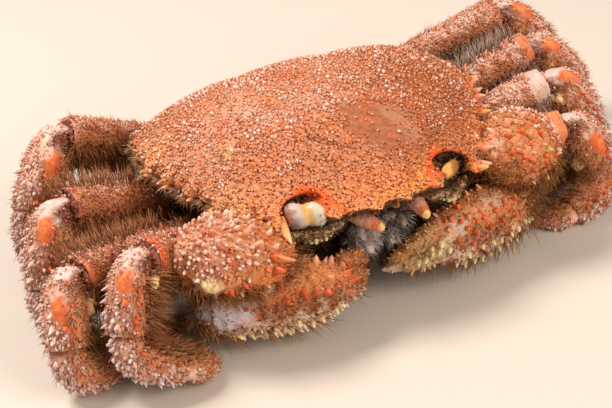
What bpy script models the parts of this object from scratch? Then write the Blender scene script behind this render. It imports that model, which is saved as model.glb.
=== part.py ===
"""Boiled horsehair crab at life size, at rest on its belly with claws and legs folded.

Metres, +Z up. The crab faces -Y and its own left side is +X, so names with _left are at +X.
The body lies on the floor at z = 0, and the whole is moved sideways at the end so that the
middle of its outer box stands over the origin.
"""

import math
import random

import bmesh
import bpy
from mathutils import Vector
from mathutils.bvhtree import BVHTree

MM = 0.001

# Driving sizes, in millimetres
CARAPACE_WIDTH = 102.0
CARAPACE_LENGTH = 104.0
GAP = 0.32
WELD = 0.0002
SPINE_ROOT = 0.7
SEED = 11

# One side of the carapace's margin seen from above, as shares of half its width and length
MARGIN = (
    (0.0, -0.962), (0.157, -0.971), (0.294, -0.942), (0.412, -0.885), (0.549, -0.856),
    (0.686, -0.712), (0.804, -0.538), (0.922, -0.269), (0.99, -0.02), (0.975, 0.173),
    (0.902, 0.375), (0.755, 0.596), (0.559, 0.769), (0.373, 0.875), (0.176, 0.923), (0.0, 0.933),
)
# Height of the margin and of the crown line along y, in millimetres
MARGIN_RISE = (
    (-52.0, 37.5), (-44.0, 35.5), (-20.0, 37.5), (0.0, 39.0), (15.0, 38.0), (30.0, 33.0), (48.5, 25.0),
)
CROWN_RISE = (
    (-52.0, 38.5), (-44.0, 42.5), (-34.0, 47.0), (-20.0, 51.5), (-8.0, 53.5),
    (6.0, 53.5), (20.0, 49.5), (34.0, 41.5), (48.5, 26.0),
)
UNDERSIDE_HEIGHT = 21.8
# Teeth of one side: place in steps of the margin's points, length, half width, share turned forward
MARGIN_TEETH = (
    (0.55, 3.4, 2.2, 1.5), (2.05, 2.6, 2.0, 1.2), (4.15, 2.0, 1.8, 1.0), (5.2, 3.0, 2.2, 0.5),
    (5.55, 1.5, 1.2, 0.4), (5.95, 3.2, 2.3, 0.5), (6.3, 1.5, 1.2, 0.4), (6.65, 3.4, 2.4, 0.5),
    (6.95, 1.6, 1.2, 0.4), (7.25, 3.4, 2.4, 0.5), (7.5, 1.5, 1.2, 0.3), (7.8, 4.0, 2.6, 0.5),
    (8.15, 1.5, 1.2, 0.2), (8.45, 2.4, 1.7, 0.2), (8.8, 1.4, 1.1, 0.1), (9.15, 1.9, 1.4, 0.1),
    (9.5, 1.2, 1.0, 0.0), (9.85, 1.6, 1.3, 0.0), (10.4, 1.2, 1.0, 0.0),
)
# Swellings of the carapace's regions, one side: middle x and y, reach along x and y, height
REGIONS = (
    (0.0, -20.0, 12.0, 8.0, 0.8), (0.0, 10.0, 10.0, 10.0, 1.0), (15.0, -30.0, 8.0, 7.0, 0.8),
    (38.0, -16.0, 9.0, 8.0, 0.9), (27.0, 6.0, 12.0, 17.0, 1.0), (18.0, 30.0, 9.0, 7.0, 0.7),
    (0.0, 33.0, 8.0, 6.0, 0.6),
)
# Furrows between them, one side: start, end, depth, half width
FURROWS = (
    ((29.0, -22.0), (15.0, -9.0), 0.8, 2.6), ((15.0, -9.0), (0.0, -5.0), 0.8, 2.6),
    ((13.0, -3.0), (14.0, 19.0), 0.8, 2.6), ((9.0, 23.0), (0.0, 24.0), 0.6, 2.6),
)
CROWN_SET_DOWN = 0.6
ORBIT = (22.4, -42.8, 36.2)
ORBITAL_SPIKE = ((33.0, -40.5, 35.4), (29.2, -50.8, 33.6))
TUBERCLES = 76
TUBERCLE_SPACING = 6.6
SMOOTH_PATCH = (9.3, -28.4, 49.5)
SMOOTH_REACH = 10.0

# Each walking leg from its root: coxa, knee, end of carpus, end of propodus, tip
LEG_JOINTS = {
    "right_1": ((-22, -13, 12), (-69, -38, 33), (-77, -48, 13), (-54, -55, 2.9), (-58, -36, 2)),
    "right_2": ((-22, -2, 12), (-86, -31, 29), (-92, -43, 8), (-72, -33, 2.9), (-52, -26, 2)),
    "right_3": ((-22, 12, 13), (-80, -5, 35), (-88, -14, 15), (-82, -28, 2.9), (-61, -18, 2)),
    "right_4": ((-22, 34, 18), (-68, 29, 39), (-82, 17, 22), (-84, 2, 2.9), (-63, 8, 2)),
    "left_1": ((22, -12, 11), (77, -25, 26), (84, -34, 8), (62, -38, 2.9), (58, -19, 2)),
    "left_2": ((22, -1, 12), (79, -12, 35), (89, -20, 16), (76, -17, 2.9), (54, -9, 2)),
    "left_3": ((22, 12, 14), (86, 9, 37), (97, -1, 19), (83, -7, 2.9), (62, 1, 2)),
    "left_4": ((22, 36, 19), (88, 32, 39), (101, 23, 23), (92, 12, 2.9), (70, 15, 2)),
}
# Along each segment: share of its length, half height, half thickness
MERUS = ((0.0, 5.0, 4.2), (0.35, 6.4, 4.9), (0.8, 6.9, 5.3), (0.94, 6.6, 5.6), (1.0, 5.8, 5.2))
CARPUS = ((0.0, 5.2, 4.8), (0.2, 6.0, 5.5), (0.6, 6.8, 5.8), (0.9, 6.2, 5.4), (1.0, 5.2, 4.8))
PROPODUS = ((0.0, 4.8, 4.4), (0.25, 5.4, 4.9), (0.6, 5.4, 4.8), (0.9, 4.6, 4.0), (1.0, 4.0, 3.6))
DACTYL = ((0.0, 3.6, 3.2), (0.3, 3.5, 3.0), (0.7, 2.4, 2.1), (0.93, 1.2, 1.1), (1.0, 0.4, 0.4))

# Each claw's pieces as points along their middles, from the body outwards
CLAWS = {
    "right": {
        "merus": ((-22, -22, 15), (-46, -34, 22)),
        "carpus": ((-57, -35, 30.5), (-29, -48, 31)),
        "palm": ((-53, -40, 14), (-17, -52, 16.5), (-9, -47, 14), (-7, -41, 11)),
        "finger": ((-15, -48.5, 21), (-8.5, -45.5, 19.5), (-4.5, -40.5, 13)),
    },
    "left": {
        "merus": ((22, -20, 15), (46, -28, 22)),
        "carpus": ((61, -26, 29), (39, -41, 30)),
        "palm": ((51, -38, 14.5), (18, -47, 17), (8, -46, 13), (0.5, -43, 10.5)),
        "finger": ((17, -47.5, 21.5), (9, -48.5, 19), (0.5, -45.5, 13)),
    },
}
CLAW_MERUS = ((0.0, 6.5, 5.5), (0.5, 8.0, 6.5), (1.0, 8.0, 7.0))
CLAW_CARPUS = (
    (0.0, 4.0, 4.5), (0.12, 7.5, 8.0), (0.35, 10.5, 11.5),
    (0.62, 10.8, 11.5), (0.86, 8.5, 9.0), (1.0, 5.0, 6.0),
)
CLAW_PALM = (
    (0.0, 4.2, 3.2), (0.07, 7.2, 5.2), (0.32, 9.4, 6.5), (0.56, 8.7, 6.0),
    (0.72, 5.2, 4.3), (0.88, 3.2, 2.8), (1.0, 0.7, 0.7),
)
CLAW_FINGER = ((0.0, 3.2, 3.2), (0.3, 3.8, 3.2), (0.75, 2.6, 2.2), (1.0, 0.6, 0.6))

# Rows of spines: degrees round from the front by the top, first and last share along, count, height, radius
CLAW_ROWS = {
    "merus": (),
    "carpus": (
        (-25, 0.35, 0.8, 3, 1.4, 1.1), (0, 0.25, 0.85, 4, 1.5, 1.1), (28, 0.3, 0.8, 4, 1.6, 1.1),
        (56, 0.22, 0.86, 5, 1.6, 1.1), (84, 0.3, 0.8, 4, 1.6, 1.1), (112, 0.25, 0.8, 4, 1.5, 1.1),
    ),
    "palm": (
        (-52, 0.16, 0.62, 8, 1.8, 1.0), (-22, 0.2, 0.6, 6, 1.4, 0.9), (8, 0.22, 0.62, 5, 1.4, 0.9),
        (48, 0.2, 0.64, 6, 1.9, 1.2), (100, 0.24, 0.64, 5, 1.7, 1.2), (-40, 0.7, 0.86, 4, 1.1, 0.8),
    ),
    "finger": ((60, 0.25, 0.7, 4, 1.0, 0.8),),
}
LEG_ROWS = {
    "merus": ((52, 0.4, 0.9, 4, 1.7, 0.95), (90, 0.3, 0.93, 6, 1.9, 1.0), (128, 0.4, 0.9, 4, 1.7, 0.95)),
    "carpus": ((40, 0.45, 0.9, 4, 1.8, 0.95), (90, 0.55, 0.9, 3, 1.9, 1.0), (140, 0.45, 0.9, 4, 1.8, 0.95)),
    "propodus": ((35, 0.3, 0.85, 4, 1.6, 0.85), (75, 0.3, 0.85, 4, 1.7, 0.9), (125, 0.3, 0.85, 4, 1.6, 0.85)),
    "dactyl": (),
}


def remove_scene_objects():
    for obj in list(bpy.data.objects):
        bpy.data.objects.remove(obj)


def collection(name):
    found = bpy.data.collections.new(name)
    bpy.context.scene.collection.children.link(found)
    return found


def material(name, colour, roughness):
    made = bpy.data.materials.new(name)
    made.use_nodes = True
    shader = made.node_tree.nodes["Principled BSDF"]
    shader.inputs["Base Color"].default_value = (*colour, 1.0)
    shader.inputs["Roughness"].default_value = roughness
    return made


def between(table, x):
    """Value of a table of (x, value) pairs at x, on a smooth cubic through them."""
    last = len(table) - 1
    if x <= table[0][0]:
        return table[0][1]
    if x >= table[last][0]:
        return table[last][1]
    i = max(k for k in range(last) if table[k][0] <= x)
    slope = []
    for k in (i, i + 1):
        a, b = max(k - 1, 0), min(k + 1, last)
        slope.append((table[b][1] - table[a][1]) / (table[b][0] - table[a][0]))
    width = table[i + 1][0] - table[i][0]
    t = (x - table[i][0]) / width
    return (
        (2 * t**3 - 3 * t**2 + 1) * table[i][1]
        + (t**3 - 2 * t**2 + t) * width * slope[0]
        + (3 * t**2 - 2 * t**3) * table[i + 1][1]
        + (t**3 - t**2) * width * slope[1]
    )


def new_object(name, mesh_data, parts, shade):
    obj = bpy.data.objects.new(name, mesh_data)
    parts.objects.link(obj)
    mesh_data.materials.append(shade)
    return obj


def closed_loft(name, rings):
    """Mesh through rings of points in millimetres, each end closed by a fan to its middle."""
    sides = len(rings[0])
    points = [tuple(c * MM for c in p) for ring in rings for p in ring]
    faces = []
    for r in range(len(rings) - 1):
        for s in range(sides):
            a, b = r * sides + s, r * sides + (s + 1) % sides
            faces.append((a, b, b + sides, a + sides))
    for ring, order in ((0, -1), (len(rings) - 1, 1)):
        middle = sum((Vector(p) for p in rings[ring]), Vector()) / sides
        points.append(tuple(middle * MM))
        hub = len(points) - 1
        for s in range(sides):
            a, b = ring * sides + s, ring * sides + (s + 1) % sides
            faces.append((a, b, hub) if order > 0 else (b, a, hub))
    mesh_data = bpy.data.meshes.new(name)
    mesh_data.from_pydata(points, [], faces)
    shape = bmesh.new()
    shape.from_mesh(mesh_data)
    bmesh.ops.recalc_face_normals(shape, faces=shape.faces)
    shape.to_mesh(mesh_data)
    shape.free()
    return mesh_data


def section(middle, across, up, half_across, half_up, sides, fullness=1.0):
    """Ring of points on an ellipse, squarer where fullness is under 1."""
    ring = []
    for s in range(sides):
        turn = 2 * math.pi * (s + 0.5) / sides
        c, n = math.cos(turn), math.sin(turn)
        c = math.copysign(abs(c) ** fullness, c)
        n = math.copysign(abs(n) ** fullness, n)
        ring.append(middle + across * (half_across * c) + up * (half_up * n))
    return ring


def rounded_route(joints, radius):
    """Points along straight runs between joints, each corner an arc of about that radius."""
    joints = [Vector(j) for j in joints]
    route = [joints[0]]
    marks = [0]
    for before, corner, after in zip(joints, joints[1:], joints[2:]):
        half_turn = (corner - before).angle(after - corner) / 2
        reach = radius * math.tan(half_turn)
        into = corner + (before - corner).normalized() * min(reach, (before - corner).length * 0.48)
        out = corner + (after - corner).normalized() * min(reach, (after - corner).length * 0.48)
        marks.append(len(route))
        for k in range(7):
            t = k / 6
            a, b, c = (1 - t) ** 2, 2 * t * (1 - t) * math.cos(half_turn), t**2
            route.append((into * a + corner * b + out * c) / (a + b + c))
    route.append(joints[-1])
    marks.append(len(route) - 1)
    return route, marks


class Route:
    """A path measured by its length, with a direction across it that turns as little as it can."""

    def __init__(self, points, across):
        self.points = points
        self.run = [0.0]
        for a, b in zip(points, points[1:]):
            self.run.append(self.run[-1] + (b - a).length)
        self.first_across = across

    def at(self, distance):
        k = max(i for i in range(len(self.run) - 1) if self.run[i] <= max(distance, 0.0))
        t = (distance - self.run[k]) / (self.run[k + 1] - self.run[k])
        return self.points[k].lerp(self.points[k + 1], t)

    def frame(self, distance):
        """Point, direction along, direction across and direction up at a distance from the start."""
        total = self.run[-1]
        across = self.first_across
        steps = max(2, int(distance / 2.0) + 1)
        for i in range(steps + 1):
            d = distance * i / steps
            ahead = self.at(min(d + 0.8, total)) - self.at(max(d - 0.8, 0.0))
            along = ahead.normalized()
            across = (across - along * across.dot(along)).normalized()
        return self.at(distance), along, across, along.cross(across)


def limb_route(points):
    """A route whose up is the top of the limb at its root."""
    return Route(points, Vector((0, 0, 1)).cross(points[1] - points[0]).normalized())


def limb_segment(name, route, start, end, shape, sides, rings, fullness=1.0):
    """A stretch of a limb along its route, its sections read from a table of half heights and widths."""
    heights = [(row[0], row[1]) for row in shape]
    widths = [(row[0], row[2]) for row in shape]
    made = []
    for i in range(rings):
        share = 0.5 - 0.5 * math.cos(math.pi * i / (rings - 1))
        middle, _, across, up = route.frame(start + (end - start) * share)
        wide, high = between(widths, share), between(heights, share)
        made.append(section(middle, across, up, wide, high, sides, fullness))
    return closed_loft(name, [[(p.x, p.y, max(p.z, 0.0)) for p in ring] for ring in made])


def limb_spines(route, start, end, shape, rows, fullness):
    """Cones standing in rows along a stretch of a limb, leaning a little towards its tip."""
    heights = [(row[0], row[1]) for row in shape]
    widths = [(row[0], row[2]) for row in shape]
    cones = []
    for degrees, first, last, count, height, radius in rows:
        for i in range(count):
            share = first + (last - first) * i / (count - 1)
            middle, along, across, up = route.frame(start + (end - start) * share)
            turn = math.radians(degrees if across.y < 0 else 180 - degrees)
            c, n = math.cos(turn), math.sin(turn)
            reach_c = math.copysign(abs(c) ** fullness, c) * between(widths, share)
            reach_n = math.copysign(abs(n) ** fullness, n) * between(heights, share)
            point = middle + across * reach_c + up * reach_n
            out = (across * (c / between(widths, share)) + up * (n / between(heights, share))).normalized()
            cones.append(spine(point - out * 0.3, out + along * 0.35, height + 0.3, radius))
    return cones


def bvh(mesh_data):
    shape = bmesh.new()
    shape.from_mesh(mesh_data)
    tree = BVHTree.FromBMesh(shape)
    shape.free()
    return tree


def swollen(mesh_data, name):
    """Copy of a closed mesh with its skin moved out by the gap."""
    copy = mesh_data.copy()
    copy.name = name
    normals = [v.normal.copy() for v in copy.vertices]
    for vertex, normal in zip(copy.vertices, normals):
        vertex.co += normal * (GAP * MM)
    return copy


def largest_piece(mesh_data):
    """Leaves only the biggest surface of a mesh, and says whether it is closed."""
    shape = bmesh.new()
    shape.from_mesh(mesh_data)
    bmesh.ops.remove_doubles(shape, verts=shape.verts, dist=WELD * MM)
    left = set(shape.faces)
    pieces = []
    while left:
        seed = left.pop()
        group, edge_of = {seed}, [seed]
        while edge_of:
            for edge in edge_of.pop().edges:
                for face in edge.link_faces:
                    if face in left:
                        left.discard(face)
                        group.add(face)
                        edge_of.append(face)
        pieces.append(group)
    pieces.sort(key=lambda group: sum(face.calc_area() for face in group))
    drop = [face for group in pieces[:-1] for face in group]
    bmesh.ops.delete(shape, geom=drop, context="FACES")
    bmesh.ops.triangulate(shape, faces=shape.faces)
    closed = len(shape.faces) > 0 and all(len(edge.link_faces) == 2 for edge in shape.edges)
    shape.to_mesh(mesh_data)
    shape.free()
    return closed


def boolean(obj, other, operation):
    """Applies one Boolean to an object's own mesh, with the second solver where the first leaves it open."""
    for solver in ("EXACT", "MANIFOLD"):
        step = obj.modifiers.new("join", "BOOLEAN")
        step.operation = operation
        step.solver = solver
        if isinstance(other, bpy.types.Collection):
            step.operand_type = "COLLECTION"
            step.collection = other
        else:
            step.object = other
        bpy.context.view_layer.update()
        graph = bpy.context.evaluated_depsgraph_get()
        result = bpy.data.meshes.new_from_object(obj.evaluated_get(graph))
        obj.modifiers.clear()
        if largest_piece(result):
            break
    obj.data = result


class Model:
    """The nodes so far. Each new one is cut back by the gap from those that it would touch."""

    def __init__(self):
        self.parts = collection("horsehair_crab")
        self.cutters = collection("cutters")
        self.shades = {}
        self.nodes = []

    def shade(self, name, colour, roughness):
        if name not in self.shades:
            self.shades[name] = material(name, colour, roughness)
        return self.shades[name]

    def cutter(self, mesh_data):
        obj = bpy.data.objects.new(mesh_data.name, mesh_data)
        self.cutters.objects.link(obj)
        obj.hide_render = True
        obj.display_type = "WIRE"
        return obj

    def add_spines(self, obj, cones):
        """Joins to a node every cone that clears the other nodes by the gap, in one union."""
        others = [bvh(node.data) for node in self.nodes if node is not obj]
        gathered = bpy.data.collections.new("spines_of_" + obj.name)
        bpy.context.scene.collection.children.link(gathered)
        for number, mesh_data in enumerate(cones):
            low = min(vertex.co.z for vertex in mesh_data.vertices)
            grown = swollen(mesh_data, "grown_spine")
            tree = bvh(grown)
            if low > 0 and not any(tree.overlap(other) for other in others):
                gathered.objects.link(bpy.data.objects.new(f"spine_{number}", mesh_data))
            bpy.data.meshes.remove(grown)
        if gathered.objects:
            boolean(obj, gathered, "UNION")
        for piece in list(gathered.objects):
            bpy.data.objects.remove(piece)
        bpy.data.collections.remove(gathered)

    def add(self, name, mesh_data, shade):
        obj = new_object(name, mesh_data, self.parts, shade)
        for other in self.nodes:
            grown = swollen(other.data, "grown_" + other.name)
            if bvh(obj.data).overlap(bvh(grown)):
                cutter = self.cutter(grown)
                boolean(obj, cutter, "DIFFERENCE")
                bpy.data.objects.remove(cutter)
            else:
                bpy.data.meshes.remove(grown)
        self.nodes.append(obj)
        return obj


def spine(point, direction, height, radius, sides=4, flat=1.0):
    """Mesh of one cone standing on a point, its root sunk below the surface, in millimetres."""
    shape = bmesh.new()
    sunk = SPINE_ROOT * radius
    wide = radius * (height + sunk) / height
    depth = height + sunk
    bmesh.ops.create_cone(shape, cap_ends=True, segments=sides, radius1=wide, radius2=0.0, depth=depth)
    turn = direction.normalized().to_track_quat("Z", "Y")
    middle = point + direction.normalized() * (height - sunk) / 2
    for vertex in shape.verts:
        local = Vector((vertex.co.x, vertex.co.y * flat, vertex.co.z))
        vertex.co = (middle + turn @ local) * MM
    mesh_data = bpy.data.meshes.new("spine")
    shape.to_mesh(mesh_data)
    shape.free()
    return mesh_data


def margin_point(turn):
    """Point of the carapace's margin, in millimetres, at a share of its way round from the front."""
    half = (turn % 1.0) * 2
    side = 1.0
    if half > 1:
        half, side = 2 - half, -1.0
    steps = len(MARGIN) - 1
    xs = [(i / steps, p[0]) for i, p in enumerate(MARGIN)]
    ys = [(i / steps, p[1]) for i, p in enumerate(MARGIN)]
    return side * between(xs, half) * CARAPACE_WIDTH / 2, between(ys, half) * CARAPACE_LENGTH / 2


def region_relief(x, y):
    """Height of the regions' swellings over the shield's even curve, less the furrows between them."""
    height = -CROWN_SET_DOWN
    for middle_x, middle_y, reach_x, reach_y, rise in REGIONS:
        for side in (1, -1) if middle_x else (1,):
            away = ((x - side * middle_x) / reach_x) ** 2 + ((y - middle_y) / reach_y) ** 2
            height += rise * math.exp(-away)
    place = Vector((abs(x), y))
    for start, end, depth, half_width in FURROWS:
        start, end = Vector(start), Vector(end)
        share = (place - start).dot(end - start) / (end - start).length_squared
        away = (place - start.lerp(end, min(max(share, 0.0), 1.0))).length / half_width
        height -= depth * math.exp(-(away**2))
    return height


def carapace_point(turn, k):
    """Point of the shield's upper surface: a share of the way round, and k of the way out from the crown."""
    x, y = margin_point(turn)
    low = between(MARGIN_RISE, y)
    rise = (between(CROWN_RISE, y * k) - low) * (1 - k**3) ** 0.7
    relief = region_relief(x * k, y * k) * (1 - k**6)
    return Vector((x * k, y * k, low + rise + relief))


def carapace_outward(turn, k):
    here = carapace_point(turn, k)
    along = carapace_point(turn + 0.005, k) - here
    out = here - carapace_point(turn, k - 0.02)
    return out.cross(along).normalized()


def carapace_mesh(around=56, over=12):
    """A shield whose rings shrink from the margin to the crown above and to a flat below."""
    rings = []
    for scale, fall in ((0.66, 0.0), (0.8, 0.4), (0.93, 0.72)):
        ring = []
        for s in range(around):
            x, y = margin_point(s / around)
            z = UNDERSIDE_HEIGHT + (between(MARGIN_RISE, y) - UNDERSIDE_HEIGHT) * fall
            ring.append((x * scale, y * scale, z))
        rings.append(ring)
    for i in range(over):
        k = 1 - (i / over) ** 1.35
        rings.append([tuple(carapace_point(s / around, k)) for s in range(around)])
    return closed_loft("carapace", rings)


def margin_teeth():
    """The teeth of the margin on both sides, and small ones between and behind them."""
    steps = 2 * (len(MARGIN) - 1)
    cones = []
    for step, length, half_width, forward in MARGIN_TEETH:
        for side in (1, -1):
            turn = side * step / steps
            x, y = margin_point(turn)
            ahead_x, ahead_y = margin_point(turn + side * 0.004)
            out = Vector((ahead_y - y, x - ahead_x, 0)).normalized() * side
            direction = (out + Vector((0, -forward, 0.12))).normalized()
            base = Vector((x, y, between(MARGIN_RISE, y))) - direction * 0.8
            cones.append(spine(base, direction, length + 0.8, half_width, 4, 0.7))
    for side in (1, -1):
        root, tip = (Vector((side * p[0], *p[1:])) for p in ORBITAL_SPIKE)
        cones.append(spine(root, tip - root, (tip - root).length, 2.4, 5, 0.8))
    return cones


def crown_tubercles():
    """Low cones spread evenly over the shield, clear of the orbits and of the smooth patch."""
    draw = random.Random(SEED)
    places = []
    while len(places) < TUBERCLES:
        turn, k = draw.random(), 0.12 + 0.8 * math.sqrt(draw.random())
        point = carapace_point(turn, k)
        near_orbit = any((point - Vector((x, *ORBIT[1:]))).length < 9.5 for x in (ORBIT[0], -ORBIT[0]))
        on_patch = (point - Vector(SMOOTH_PATCH)).length < SMOOTH_REACH
        crowded = any((point - other[0]).length < TUBERCLE_SPACING for other in places)
        if not (near_orbit or on_patch or crowded):
            places.append((point, carapace_outward(turn, k)))
    return [spine(point, out, 1.0, 1.15) for point, out in places]


def thorax_mesh():
    """The body under the shield: rounded sections from the belly up to the flat under it."""
    rings = []
    for z, half_x, front, rear in (
        (2.6, 20, -22, 31), (4.0, 24, -27, 35), (8, 28.5, -32, 38), (15, 31, -35, 39), (21.4, 32, -36, 39),
    ):
        middle = Vector((0, (front + rear) / 2, z))
        half_y = (rear - front) / 2
        rings.append(section(middle, Vector((1, 0, 0)), Vector((0, 1, 0)), half_x, half_y, 24, 0.72))
    return closed_loft("thorax", rings)


def abdomen_mesh():
    """The tail flap: from under the carapace's rear edge down and forward along the belly."""
    joints = ((0, 43.5, 22.5), (0, 42.5, 1.1), (0, -12.0, 1.1))
    route = Route(rounded_route(joints, 9)[0], Vector((1, 0, 0)))
    total = route.run[-1]
    shape = ((0.0, 1.6, 15.0), (0.3, 1.9, 15.0), (0.6, 1.6, 13.0), (0.85, 1.4, 9.0), (1.0, 1.2, 5.0))
    return limb_segment("abdomen", route, 0.0, total, shape, 10, 12, 0.5)


def ellipsoid(name, middle, axis, radii, segments=14, rings=9):
    """A sphere drawn out along an axis, in millimetres."""
    shape = bmesh.new()
    bmesh.ops.create_uvsphere(shape, u_segments=segments, v_segments=rings, radius=1.0)
    turn = Vector(axis).normalized().to_track_quat("Z", "Y")
    for vertex in shape.verts:
        local = Vector((vertex.co.x * radii[1], vertex.co.y * radii[2], vertex.co.z * radii[0]))
        vertex.co = (Vector(middle) + turn @ local) * MM
    mesh_data = bpy.data.meshes.new(name)
    shape.to_mesh(mesh_data)
    shape.free()
    return mesh_data


def build_head(model, carapace):
    eye_shade = model.shade("cornea", (0.62, 0.42, 0.36), 0.25)
    for side, word in ((-1, "right"), (1, "left")):
        middle = (side * ORBIT[0], *ORBIT[1:])
        axis = (side, -0.25, -0.12)
        hollow = model.cutter(ellipsoid("orbit_" + word, middle, axis, (6.9, 5.0, 5.2)))
        boolean(carapace, hollow, "DIFFERENCE")
        bpy.data.objects.remove(hollow)
    for side, word in ((-1, "right"), (1, "left")):
        middle = Vector((side * ORBIT[0], *ORBIT[1:]))
        axis = Vector((side, -0.25, -0.12)).normalized()
        profile = ((9.0, 2.6), (4.2, 2.5), (2.2, 2.9), (0.0, 3.0), (-2.2, 2.6), (-3.7, 1.5), (-4.3, 0.6))
        stalk = [
            section(middle - axis * back, Vector((0, 0, 1)), Vector((0, 1, 0)), wide, wide, 10)
            for back, wide in profile
        ]
        model.add("eye_" + word, closed_loft("eye_" + word, stalk), eye_shade)


def build_feelers(model):
    shade = model.shade("feeler_shell", (0.85, 0.36, 0.2), 0.4)
    tips = {"right": ((-10, -41, 33.0), (-6.5, -47.5, 31.5), (-3.5, -52.5, 30.3)),
            "left": ((10, -41, 33.0), (9.3, -48.0, 31.8), (9.6, -53.5, 30.3))}
    for word, joints in tips.items():
        route = Route(rounded_route(joints, 2)[0], Vector((1, 0, 0)))
        shape = ((0.0, 2.2, 2.4), (0.5, 2.0, 2.2), (0.6, 1.6, 1.7), (0.9, 1.1, 1.1), (1.0, 0.4, 0.4))
        model.add("antenna_" + word, limb_segment("antenna", route, 0, route.run[-1], shape, 8, 8), shade)
    for side, word in ((-1, "right"), (1, "left")):
        joints = ((side * 3.0, -42.5, 34.5), (side * 3.2, -47.5, 32.5), (side * 3.0, -48.5, 35.0))
        route = Route(rounded_route(joints, 2)[0], Vector((1, 0, 0)))
        shape = ((0.0, 1.3, 1.4), (0.6, 1.2, 1.2), (1.0, 0.7, 0.7))
        model.add("antennule_" + word, limb_segment("antennule", route, 0, route.run[-1], shape, 7, 8), shade)
    mouth = model.shade("mouthpart_shell", (0.55, 0.5, 0.45), 0.5)
    for side, word in ((-1, "right"), (1, "left")):
        joints = ((side * 9.0, -33.0, 8.0), (side * 6.5, -38.5, 12.0), (side * 4.6, -42.0, 27.5))
        route = Route(rounded_route(joints, 4)[0], Vector((1, 0, 0)))
        shape = ((0.0, 2.6, 2.9), (0.35, 3.0, 4.2), (0.8, 2.8, 3.9), (1.0, 1.8, 2.6))
        mesh_data = limb_segment("maxilliped", route, 0, route.run[-1], shape, 10, 9, 0.8)
        model.add("maxilliped_" + word, mesh_data, mouth)


def build_claws(model):
    shade = model.shade("claw_shell", (0.82, 0.3, 0.12), 0.5)
    spiny = []
    for word, claw in CLAWS.items():
        for piece, shape, sides, rings, fullness in (
            ("carpus", CLAW_CARPUS, 12, 9, 0.9),
            ("palm", CLAW_PALM, 12, 11, 0.72),
            ("finger", CLAW_FINGER, 7, 6, 1.0),
            ("merus", CLAW_MERUS, 10, 5, 0.9),
        ):
            route = limb_route(rounded_route(claw[piece], 8)[0])
            mesh_data = limb_segment(piece, route, 0, route.run[-1], shape, sides, rings, fullness)
            obj = model.add(f"claw_{piece}_{word}", mesh_data, shade)
            spiny.append((obj, limb_spines(route, 0, route.run[-1], shape, CLAW_ROWS[piece], fullness)))
    return spiny


def build_legs(model):
    shade = model.shade("leg_shell", (0.78, 0.34, 0.2), 0.6)
    spiny = []
    for leg, joints in LEG_JOINTS.items():
        points, marks = rounded_route(joints, 6.6)
        route = limb_route(points)
        cuts = [0.0] + [route.run[m] for m in marks[1:-1]] + [route.run[-1]]
        for k, (piece, shape, sides, rings) in enumerate((
            ("merus", MERUS, 10, 6), ("carpus", CARPUS, 10, 7),
            ("propodus", PROPODUS, 10, 6), ("dactyl", DACTYL, 6, 5),
        )):
            start, end = cuts[k] + GAP / 2, cuts[k + 1] - GAP / 2
            mesh_data = limb_segment(piece, route, start, end, shape, sides, rings, 0.92)
            obj = model.add(f"leg_{leg}_{piece}", mesh_data, shade)
            spiny.append((obj, limb_spines(route, start, end, shape, LEG_ROWS[piece], 0.92)))
    return spiny


def stand_over_origin(model):
    """Moves the whole sideways so that the middle of its outer box is over the origin."""
    for axis in (0, 1):
        places = [vertex.co[axis] for obj in model.nodes for vertex in obj.data.vertices]
        middle = (min(places) + max(places)) / 2
        for obj in model.nodes:
            for vertex in obj.data.vertices:
                vertex.co[axis] -= middle


def main():
    remove_scene_objects()
    model = Model()
    shell = model.shade("carapace_shell", (0.86, 0.36, 0.16), 0.5)
    carapace = model.add("carapace", carapace_mesh(), shell)
    model.add("thorax", thorax_mesh(), model.shade("belly_shell", (0.85, 0.6, 0.42), 0.55))
    model.add("abdomen", abdomen_mesh(), model.shade("flap_shell", (0.85, 0.62, 0.45), 0.55))
    build_head(model, carapace)
    build_feelers(model)
    spiny = [(carapace, margin_teeth() + crown_tubercles())]
    spiny += build_claws(model)
    spiny += build_legs(model)
    for obj, cones in spiny:
        model.add_spines(obj, cones)
    stand_over_origin(model)


main()
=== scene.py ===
import math

import bpy
import numpy as np
from mathutils import Matrix, Vector


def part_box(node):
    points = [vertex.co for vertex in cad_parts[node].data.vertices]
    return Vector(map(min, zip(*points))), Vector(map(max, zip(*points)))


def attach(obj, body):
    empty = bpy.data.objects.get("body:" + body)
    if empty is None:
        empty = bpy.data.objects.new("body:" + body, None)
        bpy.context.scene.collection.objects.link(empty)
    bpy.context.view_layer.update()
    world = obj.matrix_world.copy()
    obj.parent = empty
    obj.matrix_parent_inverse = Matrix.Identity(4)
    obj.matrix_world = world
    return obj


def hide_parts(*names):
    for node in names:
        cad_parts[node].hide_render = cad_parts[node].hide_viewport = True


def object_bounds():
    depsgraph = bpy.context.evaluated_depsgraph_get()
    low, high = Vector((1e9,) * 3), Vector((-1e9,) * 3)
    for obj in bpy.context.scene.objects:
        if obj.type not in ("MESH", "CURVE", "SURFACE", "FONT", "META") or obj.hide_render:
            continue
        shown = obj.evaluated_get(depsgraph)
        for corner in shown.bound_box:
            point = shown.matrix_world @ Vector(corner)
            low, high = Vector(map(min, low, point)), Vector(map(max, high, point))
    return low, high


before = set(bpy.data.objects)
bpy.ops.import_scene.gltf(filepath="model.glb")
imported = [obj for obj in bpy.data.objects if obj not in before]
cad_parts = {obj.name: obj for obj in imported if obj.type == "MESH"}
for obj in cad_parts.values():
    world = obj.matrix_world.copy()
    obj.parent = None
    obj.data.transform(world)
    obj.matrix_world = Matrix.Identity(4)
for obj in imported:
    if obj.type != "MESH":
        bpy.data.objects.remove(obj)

cadBox = [list(corner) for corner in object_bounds()]  # the solids' own box, before anything is added
pi = math.pi

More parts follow.
